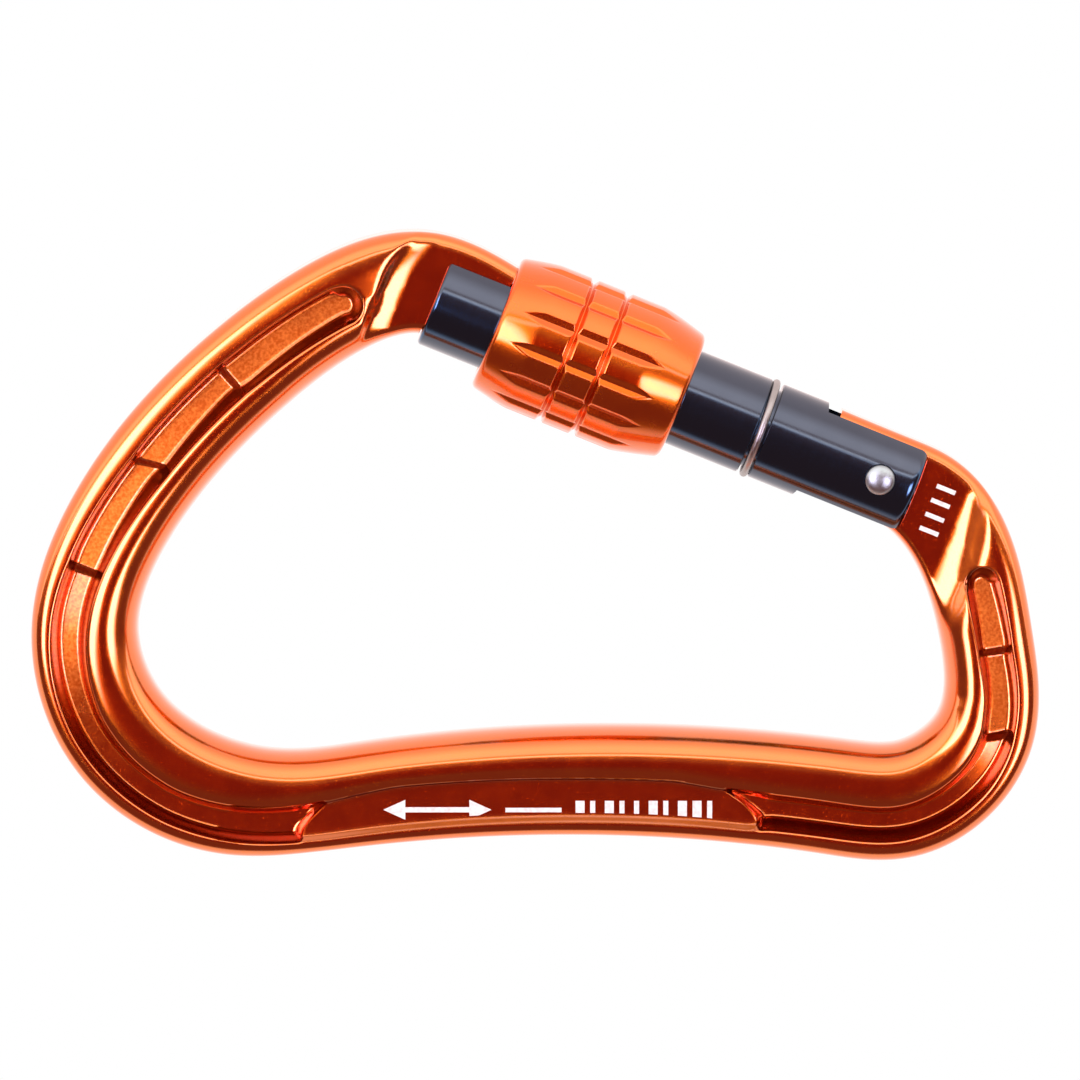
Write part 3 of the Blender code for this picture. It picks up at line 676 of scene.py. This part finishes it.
def build_body(material):
    line = Centreline()
    stations = body_stations(line)[:, None]
    distance = stations + slant(stations) * column_parts() ** 2
    x0, z0, out_x, out_z, width = line.at(distance)
    offset = column_offsets(distance, width / 2)
    x = x0 + out_x * offset
    z = z0 + out_z * offset
    depth, inside = body_half_depth(distance, offset, width / 2, x, z)
    side = [depth[:, -1:] * share for share in SIDE_SHARES]
    ring_x = np.hstack([x] + [x[:, -1:]] * len(side) + [x[:, :0:-1]])
    ring_z = np.hstack([z] + [z[:, -1:]] * len(side) + [z[:, :0:-1]])
    ring_y = -np.hstack([depth] + side + [-depth[:, :0:-1]])
    ring_in = np.hstack([inside] + [side[0] * 0.0] * len(side) + [inside[:, :0:-1]])
    rows, count = ring_x.shape
    vertices = np.stack([ring_x, ring_y, ring_z], axis=-1).reshape(-1, 3)
    faces = end_faces(rows, count) + grid_faces(rows, count)
    body = add_piece("body_forging", vertices.tolist(), faces, material, "orange_anodised")
    mask = body.data.attributes.new("channel", "FLOAT", "POINT")
    mask.data.foreach_set("value", ring_in.reshape(-1).astype(np.float32))
    cut_away(body, [nose_cutter(), cam_cutter(), rivet_hole()])
    mark_cut_edges(body)
    stand_for(body, "body", "body")


def mark_cut_edges(body):
    """Sharp edges where the tangs were cut."""
    shaped = bmesh.new()
    shaped.from_mesh(body.data)
    for edge in shaped.edges:
        middle = (edge.verts[0].co + edge.verts[1].co) / (2 * MM)
        along, above = gate_coordinates(middle.x, middle.z)
        cut = along < 48.2 if along > 20.0 else along > -2.0
        if cut and len(edge.link_faces) == 2 and edge.calc_face_angle(0.0) > CUT_EDGE_ANGLE:
            edge.smooth = False
    shaped.to_mesh(body.data)
    shaped.free()


def nose_cutter():
    """Trims the nose tang to the slot it drops into, and cuts its latch notch."""
    below = -8.0
    beyond = NOSE_TANG_REACH - 4.0
    outline = [(beyond, below), (beyond, -below)]
    low = NOSE_TANG_FLOOR + TANG_CHAMFER
    for above in (-below, 6.5, 5.5, 4.5, 3.0, 1.5, 0.0, -1.5, low):
        tip = math.sqrt(NOSE_TANG_REACH**2 - above**2)
        if above > LIP_ABOVE:
            tip = min(tip, SLEEVE_START + SLEEVE_LENGTH + LIP_GAP)
        outline.append((tip, above))
    outline += [(outline[-1][0] + TANG_CHAMFER, NOSE_TANG_FLOOR)]
    outline += key_points(NOTCH_BASE_HALF, NOTCH_TOP_HALF, NOSE_TANG_FLOOR, NOTCH_TOP)
    outline += [(NOSE_SHOULDER, NOSE_TANG_FLOOR), (NOSE_SHOULDER, below)]
    return gate_cutter("nose_cutter", *prism(outline, THROUGH_HALF))


def key_points(base_half, top_half, base, top):
    """Four points across the gate's key or the notch it enters."""
    steps = ((-base_half, base), (-top_half, top), (top_half, top), (base_half, base))
    return [(KEY_MIDDLE + along, above) for along, above in steps]


def cam_cutter():
    """Rounds the hinge tang's lower corner into the cam that the plunger rides on."""
    past = HINGE_TANG_END + 3.0
    outline = [(past, -CAM_RADIUS), (past, -8.0), (3.5, -8.0)]
    steps = 24
    for k in range(steps, -1, -1):
        angle = CAM_SWEEP * k / steps
        reach = HINGE_TANG_END + CAM_RADIUS * angle
        x = reach * math.cos(angle) - CAM_RADIUS * math.sin(angle)
        z = -reach * math.sin(angle) - CAM_RADIUS * math.cos(angle)
        outline.append((x, z))
    return gate_cutter("cam_cutter", *prism(outline, THROUGH_HALF))


def rivet_hole():
    profile = [(side * HOLE_HALF, RIVET_HOLE_RADIUS) for side in (-1, 1)]
    return gate_cutter("rivet_hole", *turned(profile, 64, axis="y"))


# ---------------- gate and its fittings


def rounded_end(end, radius, corner, inward):
    """Profile points of a rounded edge at one end of a bar; inward is +1 or -1."""
    points = []
    for k in range(7):
        angle = math.pi / 2 * k / 6
        along = end + inward * corner * (1 - math.sin(angle))
        points.append((along, radius - corner + corner * math.cos(angle)))
    return points


def hinge_slot():
    """Clears the hinge tang; its end wall is hollow, deeper at the tube's surface."""
    start = GATE_TAIL - 2.0
    outline = [(start, SLOT_REACH), (start, -SLOT_REACH)]
    for k in range(17):
        height = -SLOT_REACH + 2 * SLOT_REACH * k / 16
        outline.append((HINGE_SLOT_END + height**2 / (2 * HINGE_SLOT_RADIUS), height))
    return gate_cutter("hinge_slot", *prism(outline, HINGE_SLOT_WIDTH / 2))


def gate_profile():
    tail = rounded_end(GATE_TAIL, TUBE_RADIUS, TAIL_ROUND, 1)
    tip = rounded_end(GATE_TIP, TUBE_RADIUS, TIP_BEVEL, -1)
    half = GROOVE_WIDTH / 2
    wall = (
        (half + GROOVE_EDGE, TUBE_RADIUS), (half, TUBE_RADIUS - GROOVE_EDGE), (half, GROOVE_RADIUS)
    )
    groove = [(RING_ALONG - gap, radius) for gap, radius in wall]
    groove += [(RING_ALONG + gap, radius) for gap, radius in reversed(wall)]
    return [*reversed(tail), *groove, *tip]


def nose_slot():
    end = GATE_TIP + 2.0
    outline = [(NOSE_SLOT_END, SLOT_REACH), (NOSE_SLOT_END, NOSE_SLOT_FLOOR)]
    outline += key_points(KEY_BASE_HALF, KEY_TOP_HALF, NOSE_SLOT_FLOOR, KEY_TOP)
    outline += [(end, NOSE_SLOT_FLOOR), (end, SLOT_REACH)]
    return gate_cutter("nose_slot", *prism(outline, NOSE_SLOT_WIDTH / 2))


def build_gate(material):
    shape = turned(gate_profile(), 160)
    gate = add_piece("gate_tube", *shape, material, "gunmetal_anodised", gate_matrix())
    cutters = [hinge_slot(), nose_slot(), rivet_hole()]
    bore = [(HINGE_SLOT_END - 2.0, BORE_RADIUS), (BORE_END, BORE_RADIUS)]
    cutters.append(gate_cutter("spring_bore", *turned(bore, 64)))
    for side, name in ((-1, "front_seat"), (1, "back_seat")):
        seat = [(side * HEAD_SEAT_DEPTH, HEAD_SEAT_RADIUS), (side * 8.0, HEAD_SEAT_RADIUS)]
        cutters.append(gate_cutter(name, *turned(seat, 64, axis="y")))
    cut_away(gate, cutters)
    stand_for(gate, "gate", "gate", 28)


def build_rivet(material):
    rise = RIVET_HEAD_TOP - RIVET_HEAD_BASE - 0.3
    head = [(RIVET_HEAD_BASE, RIVET_RADIUS), (RIVET_HEAD_BASE, RIVET_HEAD_RADIUS)]
    for k in range(9):
        angle = math.pi / 2 * k / 9
        radius = RIVET_HEAD_RADIUS * math.cos(angle)
        head.append((RIVET_HEAD_BASE + 0.3 + rise * math.sin(angle), radius))
    head.append((RIVET_HEAD_TOP, 0))
    mirrored = [(-y, r) for y, r in reversed(head)]
    shape = turned(mirrored + head, 64, axis="y")
    rivet = add_piece("rivet", *shape, material, "stainless_rivet", gate_matrix())
    stand_for(rivet, "gate", "hinge_rivet", 40)


def build_stop_ring(material):
    steps = 120
    first = math.pi / 2 + RING_SPLIT / 2
    path = [(0.0, first + (2 * math.pi - RING_SPLIT) * k / steps) for k in range(steps + 1)]
    shape = coiled_wire(path, RING_OUTER_RADIUS - RING_WIRE_RADIUS, RING_WIRE_RADIUS, 16)
    place = Matrix.Translation((RING_ALONG * MM, 0.0, 0.0))
    tilt = Euler((math.radians(90), RING_TILT, 0.0)).to_matrix().to_4x4()
    matrix = gate_matrix() @ place @ tilt
    ring = add_piece("split_ring", *shape, material, "stainless_wire", matrix)
    stand_for(ring, "gate", "stop_ring", 40)


def build_plunger(material):
    profile = [
        (PLUNGER_FACE, 0),
        (PLUNGER_FACE, PLUNGER_RADIUS - 0.3),
        (PLUNGER_FACE + 0.3, PLUNGER_RADIUS),
        (PLUNGER_SHOULDER, PLUNGER_RADIUS),
        (PLUNGER_SHOULDER, PLUNGER_STEM_RADIUS),
        (PLUNGER_STEM_END - 0.3, PLUNGER_STEM_RADIUS),
        (PLUNGER_STEM_END, PLUNGER_STEM_RADIUS - 0.3),
        (PLUNGER_STEM_END, 0),
    ]
    plunger = add_piece("plunger", *turned(profile, 48), material, "brass", gate_matrix())
    stand_for(plunger, "plunger", "spring_plunger", 28)


def build_spring(material):
    start = PLUNGER_SHOULDER + SPRING_GAP + SPRING_WIRE_RADIUS
    end = BORE_END - SPRING_GAP - SPRING_WIRE_RADIUS
    steps = SPRING_TURNS * 36
    path = []
    for k in range(steps + 1):
        part = k / steps
        path.append((start + (end - start) * part, 2 * math.pi * SPRING_TURNS * part))
    shape = coiled_wire(path, SPRING_COIL_RADIUS, SPRING_WIRE_RADIUS, 12)
    spring = add_piece("coil_spring", *shape, material, "spring_steel", gate_matrix())
    stand_for(spring, "gate", "gate_spring")


# ---------------- sleeve


def barrel_radius(along):
    """The sleeve's outer radius before its grooves and flutes, from its hinge-side end."""
    drop = 0.0
    for gap, (end_radius, shoulder) in (
        (along, SLEEVE_HINGE_END),
        (SLEEVE_LENGTH - along, SLEEVE_NOSE_END),
    ):
        beyond = np.maximum(0.0, 1.0 - gap / shoulder) ** BARREL_POWER
        drop = drop + (SLEEVE_MIDDLE_RADIUS - end_radius) * beyond
    short = np.maximum(0.0, SLEEVE_EDGE_ROUND - np.minimum(along, SLEEVE_LENGTH - along))
    edge_drop = SLEEVE_EDGE_ROUND - np.sqrt(np.maximum(0.0, SLEEVE_EDGE_ROUND**2 - short**2))
    return SLEEVE_MIDDLE_RADIUS - drop - edge_drop


def sleeve_surface(along, turn):
    """Radius of the sleeve at arrays of distance and of angle from the nearest flute's bottom."""
    closeness = np.cos(turn) - np.abs(np.sin(turn)) * math.tan(FLUTE_SLOPE)
    flute = FLUTE_FLOOR_RADIUS / np.maximum(closeness, 0.5)
    radius = soft_min(barrel_radius(along), flute, FLUTE_BLEND)
    for middle in SLEEVE_GROOVES:
        gap = np.abs(along - middle) / SLEEVE_GROOVE_HALF
        depth = SLEEVE_GROOVE_DEPTH * (1.0 - soft_ramp(gap, 0.25, 0.25))
        floor = SLEEVE_MIDDLE_RADIUS - depth
        radius = np.where(gap < 1.3, np.minimum(radius, floor), radius)
    return radius


def sleeve_rows():
    """Distances along the sleeve of each ring of points."""
    rows = [SLEEVE_EDGE_ROUND * (1 - math.cos(math.pi / 2 * k / 7)) for k in range(8)]
    rows += list(np.arange(0.75, SLEEVE_LENGTH - 0.7, 0.25))
    for middle in SLEEVE_GROOVES:
        rows = [r for r in rows if abs(r - middle) > 0.6]
        rows += list(middle + np.linspace(-0.55, 0.55, 15))
    rows += [SLEEVE_LENGTH - r for r in rows[:8]]
    return np.array(sorted(rows))


def build_sleeve(material):
    pitch = 2 * math.pi / FLUTE_COUNT
    side = np.radians(FLUTE_COLUMNS)
    within = np.concatenate([-side[:0:-1], side, [pitch / 2]])
    angle = np.concatenate([FLUTE_FIRST + k * pitch + within for k in range(FLUTE_COUNT)])
    turn = np.tile(within, FLUTE_COUNT)
    rows = sleeve_rows()
    outer = sleeve_surface(rows[:, None] + 0.0 * turn, turn[None, :] + 0.0 * rows[:, None])
    lips = [(SLEEVE_LENGTH - into, out) for into, out in SLEEVE_LIPS]
    lips += reversed(SLEEVE_LIPS)
    along = np.concatenate([rows, [a for a, _ in lips]])
    bore = np.array([SLEEVE_BORE_RADIUS + e for _, e in lips])[:, None] + 0.0 * turn
    radius = np.vstack([outer, bore])
    across = -radius * np.cos(angle)
    up = radius * np.sin(angle)
    ahead = np.broadcast_to((SLEEVE_START + along)[:, None], radius.shape)
    vertices = np.stack([ahead, across, up], axis=-1).reshape(-1, 3)
    faces = grid_faces(len(along), len(angle), closed=True)
    slot = "orange_anodised"
    sleeve = add_piece("sleeve_barrel", vertices.tolist(), faces, material, slot, gate_matrix())
    stand_for(sleeve, "sleeve", "locking_sleeve")


# ---------------- markings


def mark_plate(name, outlines, surface, material):
    """Thin printed shapes, given as (x, z) outlines, lying on a flat that faces -Y."""
    vertices = []
    faces = []
    for outline in outlines:
        points, sides = prism(outline, MARK_RISE)
        faces += [[len(vertices) + k for k in side] for side in sides]
        vertices += [(x, y - surface, z) for x, y, z in points]
    mark = add_piece(name, vertices, faces, material, "orange_anodised")
    mark.data.set_sharp_from_angle(angle=math.radians(30))
    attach(mark, "body")


def block(left, right, low, high):
    return [(left, low), (right, low), (right, high), (left, high)]


def double_arrow(left, right, low, high):
    """An arrow with a head at each end."""
    middle = (low + high) / 2
    head = 1.1 * (high - low)
    thin = 0.13 * (high - low)
    return [
        (left, middle), (left + head, low), (left + head, middle - thin),
        (right - head, middle - thin), (right - head, low), (right, middle),
        (right - head, high), (right - head, middle + thin),
        (left + head, middle + thin), (left + head, high),
    ]


def build_markings(material):
    """An arrow, a line and a row of bars on the spine's panel, and ticks on the hinge tang."""
    shapes = [double_arrow(*LABEL_ARROW)]
    left, right, low, high = LABEL_BARS
    for k, width in enumerate(BAR_WIDTHS):
        start = left + (right - left) * k / len(BAR_WIDTHS)
        shapes.append(block(start, start + width, low, high))
    shapes.append(block(*LABEL_LINE))
    mark_plate("spine_marking", shapes, LABEL_HALF_DEPTH, material)
    along, length, first, step, width = TANG_TICKS
    ticks = []
    for k in range(TICK_COUNT):
        above = first + k * step
        ticks.append(block(along - length / 2, along + length / 2, above, above + width))
    ticks = [[gate_point(x, z) for x, z in tick] for tick in ticks]
    mark_plate("tang_marking", ticks, HINGE_TANG_THICKNESS / 2, material)


# ---------------- node graphs


class Graph:
    """A node tree, with short ways to add nodes and join them."""

    def __init__(self, tree):
        self.tree = tree

    def node(self, kind):
        return self.tree.nodes.new("ShaderNode" + kind)

    def feed(self, value, socket):
        """Sets a socket to a number, a colour or the output of another node."""
        if isinstance(value, bpy.types.NodeSocket):
            self.tree.links.new(value, socket)
        elif isinstance(value, tuple) and socket.type == "RGBA":
            socket.default_value = (*value, 1.0)
        else:
            socket.default_value = value

    def math(self, operation, first, second=0.0):
        node = self.node("Math")
        node.operation = operation
        self.feed(first, node.inputs[0])
        self.feed(second, node.inputs[1])
        return node.outputs["Value"]

    def times(self, first, second):
        return self.math("MULTIPLY", first, second)

    def plus(self, first, second):
        return self.math("ADD", first, second)

    def noise(self, scale, detail, place):
        """Noise whose scale is in features per millimetre."""
        node = self.node("TexNoise")
        node.inputs["Scale"].default_value = scale / MM
        node.inputs["Detail"].default_value = detail
        self.feed(place, node.inputs["Vector"])
        return node.outputs["Fac"]

    def remap(self, value, low, high, to_low=0.0, to_high=1.0, kind="LINEAR"):
        node = self.node("MapRange")
        node.interpolation_type = kind
        for name, limit in (
            ("From Min", low), ("From Max", high), ("To Min", to_low), ("To Max", to_high)
        ):
            node.inputs[name].default_value = limit
        self.feed(value, node.inputs["Value"])
        return node.outputs["Result"]

    def window(self, value, low_start, low_end, high_start, high_end):
        """1 between the two edges and 0 outside, with soft sides."""
        rising = self.remap(value, low_start, low_end, kind="SMOOTHSTEP")
        falling = self.remap(value, high_start, high_end, kind="SMOOTHSTEP")
        return self.times(rising, self.math("SUBTRACT", 1.0, falling))

    def mix(self, factor, first, second):
        node = self.node("Mix")
        node.data_type = "RGBA"
        for value, socket in zip((factor, first, second), (node.inputs[k] for k in (0, 6, 7))):
            self.feed(value, socket)
        return node.outputs[2]

    def coordinates(self, kind="Object", stretch=(1.0, 1.0, 1.0)):
        """Texture coordinates of a kind, scaled along each axis."""
        node = self.node("Mapping")
        node.inputs["Scale"].default_value = stretch
        self.feed(self.node("TexCoord").outputs[kind], node.inputs["Vector"])
        return node.outputs["Vector"]

    def split(self, vector):
        node = self.node("SeparateXYZ")
        self.feed(vector, node.inputs["Vector"])
        return node.outputs

    def bump(self, height, distance, strength):
        node = self.node("Bump")
        node.inputs["Distance"].default_value = distance * MM
        node.inputs["Strength"].default_value = strength
        self.feed(height, node.inputs["Height"])
        return node.outputs["Normal"]


# ---------------- materials

# Two random tones, then a pale tone painted on grazing rims as a painted reflection.
ORANGE_TONES_AND_PAINTED_RIM_REFLECTION = ((0.78, 0.155, 0.008), (0.88, 0.2, 0.012), (0.93, 0.46, 0.28))
SLEEVE_TONES_AND_PAINTED_RIM_REFLECTION = ((0.78, 0.13, 0.006), (0.86, 0.175, 0.009), (0.88, 0.2, 0.03))
# Painted shade on the channel's walls.
ORANGE_WALL_PAINTED_SHADE = (0.36, 0.075, 0.007)
ORANGE_FLOOR = (0.72, 0.12, 0.008)
ORANGE_SPECK = (1.0, 0.28, 0.04)
# Painted shade: a deeper, redder orange for flats that face front or back.
ORANGE_FLAT_PAINTED_SHADE = (0.8, 0.06, 0.002)
SATIN_HEIGHTS = (7.5, 20.0)
GUNMETAL_DARK = (0.06, 0.075, 0.105)
GUNMETAL_LIGHT = (0.076, 0.092, 0.125)
# Painted shade on the gate's band whose surface faces level, front and back.
GUNMETAL_PAINTED_SHADE = (0.042, 0.1, 0.19)


def new_material(name):
    """A new material, its node graph and the sockets of its shader."""
    made = bpy.data.materials.new(name)
    made.use_nodes = True
    return made, Graph(made.node_tree), made.node_tree.nodes["Principled BSDF"].inputs


def set_finish(graph, sockets, **values):
    """Feeds the sockets named by words joined with underscores, such as coat_weight."""
    for name, value in values.items():
        socket = sockets[name.replace("_", " ").title().replace("Ior", "IOR")]
        graph.feed(value, socket)


def orange_anodising(name, roughness, tones, coat_index, channelled):
    """Glossy dyed anodising, with painted shade as a deeper colour on flats that face front or back,
    and painted reflection as a pale colour where seen edge on.

    A channelled body also gets painted shade as a dark colour on its channel's walls, and satin,
    speckled floors.
    """
    made, graph, sockets = new_material(name)
    place = graph.coordinates()
    color = graph.mix(graph.noise(0.12, 3.0, place), tones[0], tones[1])
    # Painted shade: flats that face front or back are given a deeper, redder colour.
    across = graph.math("ABSOLUTE", graph.split(graph.coordinates("Normal"))[1])
    flat = graph.remap(across, 0.987, 0.999)
    color = graph.mix(flat, color, ORANGE_FLAT_PAINTED_SHADE)
    # Painted reflection: the pale third tone is painted where the surface is seen edge on.
    edge = graph.node("LayerWeight")
    edge.inputs["Blend"].default_value = 0.5
    rim = graph.remap(graph.math("POWER", edge.outputs["Facing"], 2.0), 0.45, 1.0)
    color = graph.mix(rim, color, tones[2])
    coat = graph.remap(flat, 0.0, 1.0, 1.0, 0.5)
    smears = graph.noise(0.5, 5.0, place)
    rough = graph.remap(smears, 0.3, 0.7, roughness - 0.03, roughness + 0.03)
    pits = graph.remap(graph.noise(7.0, 2.0, place), 0.66, 0.74, 0.0, -1.0)
    height = graph.plus(graph.times(graph.noise(0.35, 2.0, place), 3.0), pits)
    if channelled:
        wall, floor = painted_shade_wall_and_satin_floor_masks(graph, place)
        # Painted shade: the channel's walls are darkened.
        color = graph.mix(wall, color, ORANGE_WALL_PAINTED_SHADE)
        grain = graph.remap(graph.noise(3.5, 3.0, place), 0.35, 0.7)
        color = graph.mix(floor, color, graph.mix(grain, ORANGE_FLOOR, ORANGE_SPECK))
        coat = graph.math("SUBTRACT", coat, graph.times(wall, 0.5))
        rough = graph.plus(rough, graph.times(floor, 0.14))
    normal = graph.bump(height, 0.004, 0.8)
    set_finish(graph, sockets, base_color=color, metallic=1.0, roughness=rough, normal=normal)
    set_finish(graph, sockets, coat_weight=coat, coat_ior=coat_index, coat_roughness=0.06)
    return made


def painted_shade_wall_and_satin_floor_masks(graph, place):
    """Masks of the channel's walls, where shade is painted, and of its satin floors, which fade out
    down the spine.
    """
    mask = graph.node("Attribute")
    mask.attribute_name = "channel"
    inside = mask.outputs["Fac"]
    up = graph.split(place)[2]
    satin = graph.remap(up, *(height * MM for height in SATIN_HEIGHTS), 0.08, 1.0)
    floor = graph.times(graph.remap(inside, 0.85, 1.0), satin)
    return graph.window(inside, 0.03, 0.12, 0.8, 0.95), floor


def gunmetal_anodising(name):
    """Dark grey anodised tube, smooth, with faint turning lines round it, and painted shade as a bluer
    colour on the band whose surface faces level, front and back.
    """
    made, graph, sockets = new_material(name)
    place = graph.coordinates()
    lines = graph.noise(1.0, 4.0, graph.coordinates(stretch=(9.0, 0.25, 0.25)))
    color = graph.mix(graph.noise(0.4, 3.0, place), GUNMETAL_DARK, GUNMETAL_LIGHT)
    up = graph.split(graph.node("NewGeometry").outputs["Normal"])[2]
    # Painted shade: a bluer colour on the band whose surface faces level.
    color = graph.mix(graph.window(up, -0.66, -0.5, 0.12, 0.3), color, GUNMETAL_PAINTED_SHADE)
    rough = graph.remap(lines, 0.3, 0.7, 0.13, 0.19)
    normal = graph.bump(graph.plus(lines, graph.noise(6.0, 2.0, place)), 0.0008, 0.5)
    set_finish(graph, sockets, base_color=color, metallic=1.0, roughness=rough, normal=normal)
    set_finish(graph, sockets, coat_weight=0.5, coat_roughness=0.08)
    return made


def ink_marking(name):
    """Thin matt ink, a little worn."""
    made, graph, sockets = new_material(name)
    worn = graph.noise(2.5, 6.0, graph.coordinates())
    color = graph.mix(graph.remap(worn, 0.35, 0.75), (0.88, 0.87, 0.86), (0.68, 0.62, 0.58))
    rough = graph.remap(worn, 0.3, 0.7, 0.5, 0.75)
    normal = graph.bump(worn, 0.003, 0.5)
    set_finish(graph, sockets, base_color=color, roughness=rough, normal=normal)
    return made


def bare_metal(name, tones, roughness, scale, relief, stretch=(1.0, 1.0, 1.0)):
    """Bare metal with grain: two tones, and noise stretched the way it was worked."""
    made, graph, sockets = new_material(name)
    grain = graph.noise(scale, 5.0, graph.coordinates(stretch=stretch))
    color = graph.mix(grain, *tones)
    rough = graph.remap(grain, 0.3, 0.7, *roughness)
    normal = graph.bump(grain, relief, 0.7)
    set_finish(graph, sockets, base_color=color, metallic=1.0, roughness=rough, normal=normal)
    return made


# ---------------- stage, light and camera

CAMERA_TARGET = (0.45, 0.0, 31.85)
CAMERA_ELEVATION = math.radians(5.5)
CAMERA_LENS = 400.0
SENSOR = 36.0
FRAME_WIDTH = 108.0

# Bright areas round the camera: edges in degrees of their soft sides, and strength
OVER_EDGE = (24.0, 31.0)
OVER_FADE = (48.0, 75.0, 1.75, 0.92)
UNDER_EDGE = (-92.0, -76.0)
STRIP_TURN = (-70.0, -50.0, 50.0, 70.0)
STRIP_LIFT = (15.5, 19.0, 21.0, 25.0)
STRIP_STRENGTH = 3.0
LEFT_TURN = (-48.0, -31.0, -21.0, -14.0)
LEFT_LIFT = (-20.0, -13.0, 12.0, 22.0)
RIGHT_TURN = (14.0, 21.0, 31.0, 48.0)
RIGHT_LIFT = (-30.0, -23.0, -8.0, 0.0)
WINDOW_STRENGTH = 8.0
WINDOW_COLOR = (1.0, 0.87, 1.16)
FRONT_FADE = (-6.0, 8.0, 0.2, 0.32)
FRONT_COLOR = (1.0, 0.36, 0.3)


def add_camera():
    data = bpy.data.cameras.new("camera")
    data.lens = CAMERA_LENS
    data.sensor_width = SENSOR
    data.clip_start = 0.01
    data.clip_end = 10.0
    camera = bpy.data.objects.new("camera", data)
    bpy.context.scene.collection.objects.link(camera)
    reach = FRAME_WIDTH * CAMERA_LENS / SENSOR
    back = Vector((0.0, -math.cos(CAMERA_ELEVATION), math.sin(CAMERA_ELEVATION)))
    camera.location = (Vector(CAMERA_TARGET) + back * reach) * MM
    camera.rotation_mode = "QUATERNION"
    camera.rotation_quaternion = (-back).to_track_quat("-Z", "Y")
    bpy.context.scene.camera = camera


def camera_angles(graph):
    """Lift and turn, in degrees, of a direction as the camera sees it.

    Lift is the elevation above the line from the object to the camera, and goes on past 90 over
    the top to the backdrop; turn is to its right.
    """
    seen = graph.node("TexCoord").outputs["Camera"]
    right, up, ahead = graph.split(seen)
    toward = graph.times(ahead, -1.0)
    level = graph.math("SQRT", graph.plus(graph.times(toward, toward), graph.times(up, up)))
    angles = (graph.math("ARCTAN2", up, toward), graph.math("ARCTAN2", right, level))
    return [graph.times(angle, 180.0 / math.pi) for angle in angles]


def add_studio_light():
    """Soft light that keeps its place round the camera; the camera itself sees plain white."""
    world = bpy.data.worlds.new("studio")
    bpy.context.scene.world = world
    world.use_nodes = True
    graph = Graph(world.node_tree)
    lift, turn = camera_angles(graph)
    over = graph.remap(lift, *OVER_EDGE, kind="SMOOTHSTEP")
    over = graph.times(over, graph.remap(lift, *OVER_FADE))
    under = graph.math("SUBTRACT", 1.0, graph.remap(lift, *UNDER_EDGE, kind="SMOOTHSTEP"))
    strip = graph.times(graph.window(lift, *STRIP_LIFT), graph.window(turn, *STRIP_TURN))
    left = graph.times(graph.window(turn, *LEFT_TURN), graph.window(lift, *LEFT_LIFT))
    right = graph.times(graph.window(turn, *RIGHT_TURN), graph.window(lift, *RIGHT_LIFT))
    light = graph.plus(graph.plus(over, under), graph.times(strip, STRIP_STRENGTH))
    windows = graph.times(graph.plus(left, right), WINDOW_STRENGTH)
    seen = graph.node("LightPath").outputs["Is Camera Ray"]
    unseen = graph.math("SUBTRACT", 1.0, seen)
    white = world.node_tree.nodes["Background"]
    graph.feed((1.0, 1.0, 1.0), white.inputs["Color"])
    graph.feed(graph.plus(graph.times(light, unseen), seen), white.inputs["Strength"])
    front = graph.times(graph.remap(lift, *FRONT_FADE), unseen)
    total = add_background(graph, white.outputs["Background"], FRONT_COLOR, front)
    total = add_background(graph, total, WINDOW_COLOR, graph.times(windows, unseen))
    graph.feed(total, world.node_tree.nodes["World Output"].inputs["Surface"])
    bpy.context.scene.view_settings.view_transform = "Standard"


def add_background(graph, before, color, strength):
    """A background of one colour, added to what is there before it."""
    node = graph.node("Background")
    graph.feed(color, node.inputs["Color"])
    graph.feed(strength, node.inputs["Strength"])
    both = graph.node("AddShader")
    graph.feed(before, both.inputs[0])
    graph.feed(node.outputs["Background"], both.inputs[1])
    return both.outputs["Shader"]


def add_floor():
    """A plain white floor that the object's gloss doesn't mirror."""
    size = 3000.0
    vertices = [(-size, -size, 0.0), (size, -size, 0.0), (size, size, 0.0), (-size, size, 0.0)]
    made, graph, sockets = new_material("floor_white")
    set_finish(graph, sockets, base_color=(0.9, 0.9, 0.9), roughness=0.9)
    mixed = graph.node("MixShader")
    graph.feed(graph.node("LightPath").outputs["Is Camera Ray"], mixed.inputs[0])
    graph.feed(made.node_tree.nodes["Principled BSDF"].outputs["BSDF"], mixed.inputs[1])
    graph.feed(graph.node("Emission").outputs["Emission"], mixed.inputs[2])
    output = made.node_tree.nodes["Material Output"]
    graph.feed(mixed.outputs["Shader"], output.inputs["Surface"])
    floor = add_piece("floor", vertices, [[0, 1, 2, 3]], made, None)
    floor.location.z = -0.05 * MM
    floor.visible_glossy = False


# ---------------- everything together


def main():
    build_body(orange_anodising("orange_body", 0.19, ORANGE_TONES_AND_PAINTED_RIM_REFLECTION, 1.7, True))
    build_markings(ink_marking("white_ink"))
    build_gate(gunmetal_anodising("gunmetal_gate"))
    build_sleeve(orange_anodising("orange_sleeve", 0.25, SLEEVE_TONES_AND_PAINTED_RIM_REFLECTION, 1.5, False))
    tones = ((0.33, 0.32, 0.31), (0.5, 0.48, 0.46))
    build_stop_ring(bare_metal("satin_wire", tones, (0.3, 0.45), 1.2, 0.004))
    tones = ((0.36, 0.42, 0.43), (0.54, 0.61, 0.62))
    build_rivet(bare_metal("bright_rivet", tones, (0.3, 0.45), 1.6, 0.01))
    tones = ((0.55, 0.38, 0.14), (0.72, 0.54, 0.25))
    build_plunger(bare_metal("turned_brass", tones, (0.2, 0.35), 1.0, 0.004, (8.0, 0.3, 0.3)))
    tones = ((0.4, 0.4, 0.42), (0.6, 0.6, 0.6))
    build_spring(bare_metal("drawn_spring", tones, (0.25, 0.4), 1.2, 0.003))
    add_camera()
    add_studio_light()
    add_floor()


main()
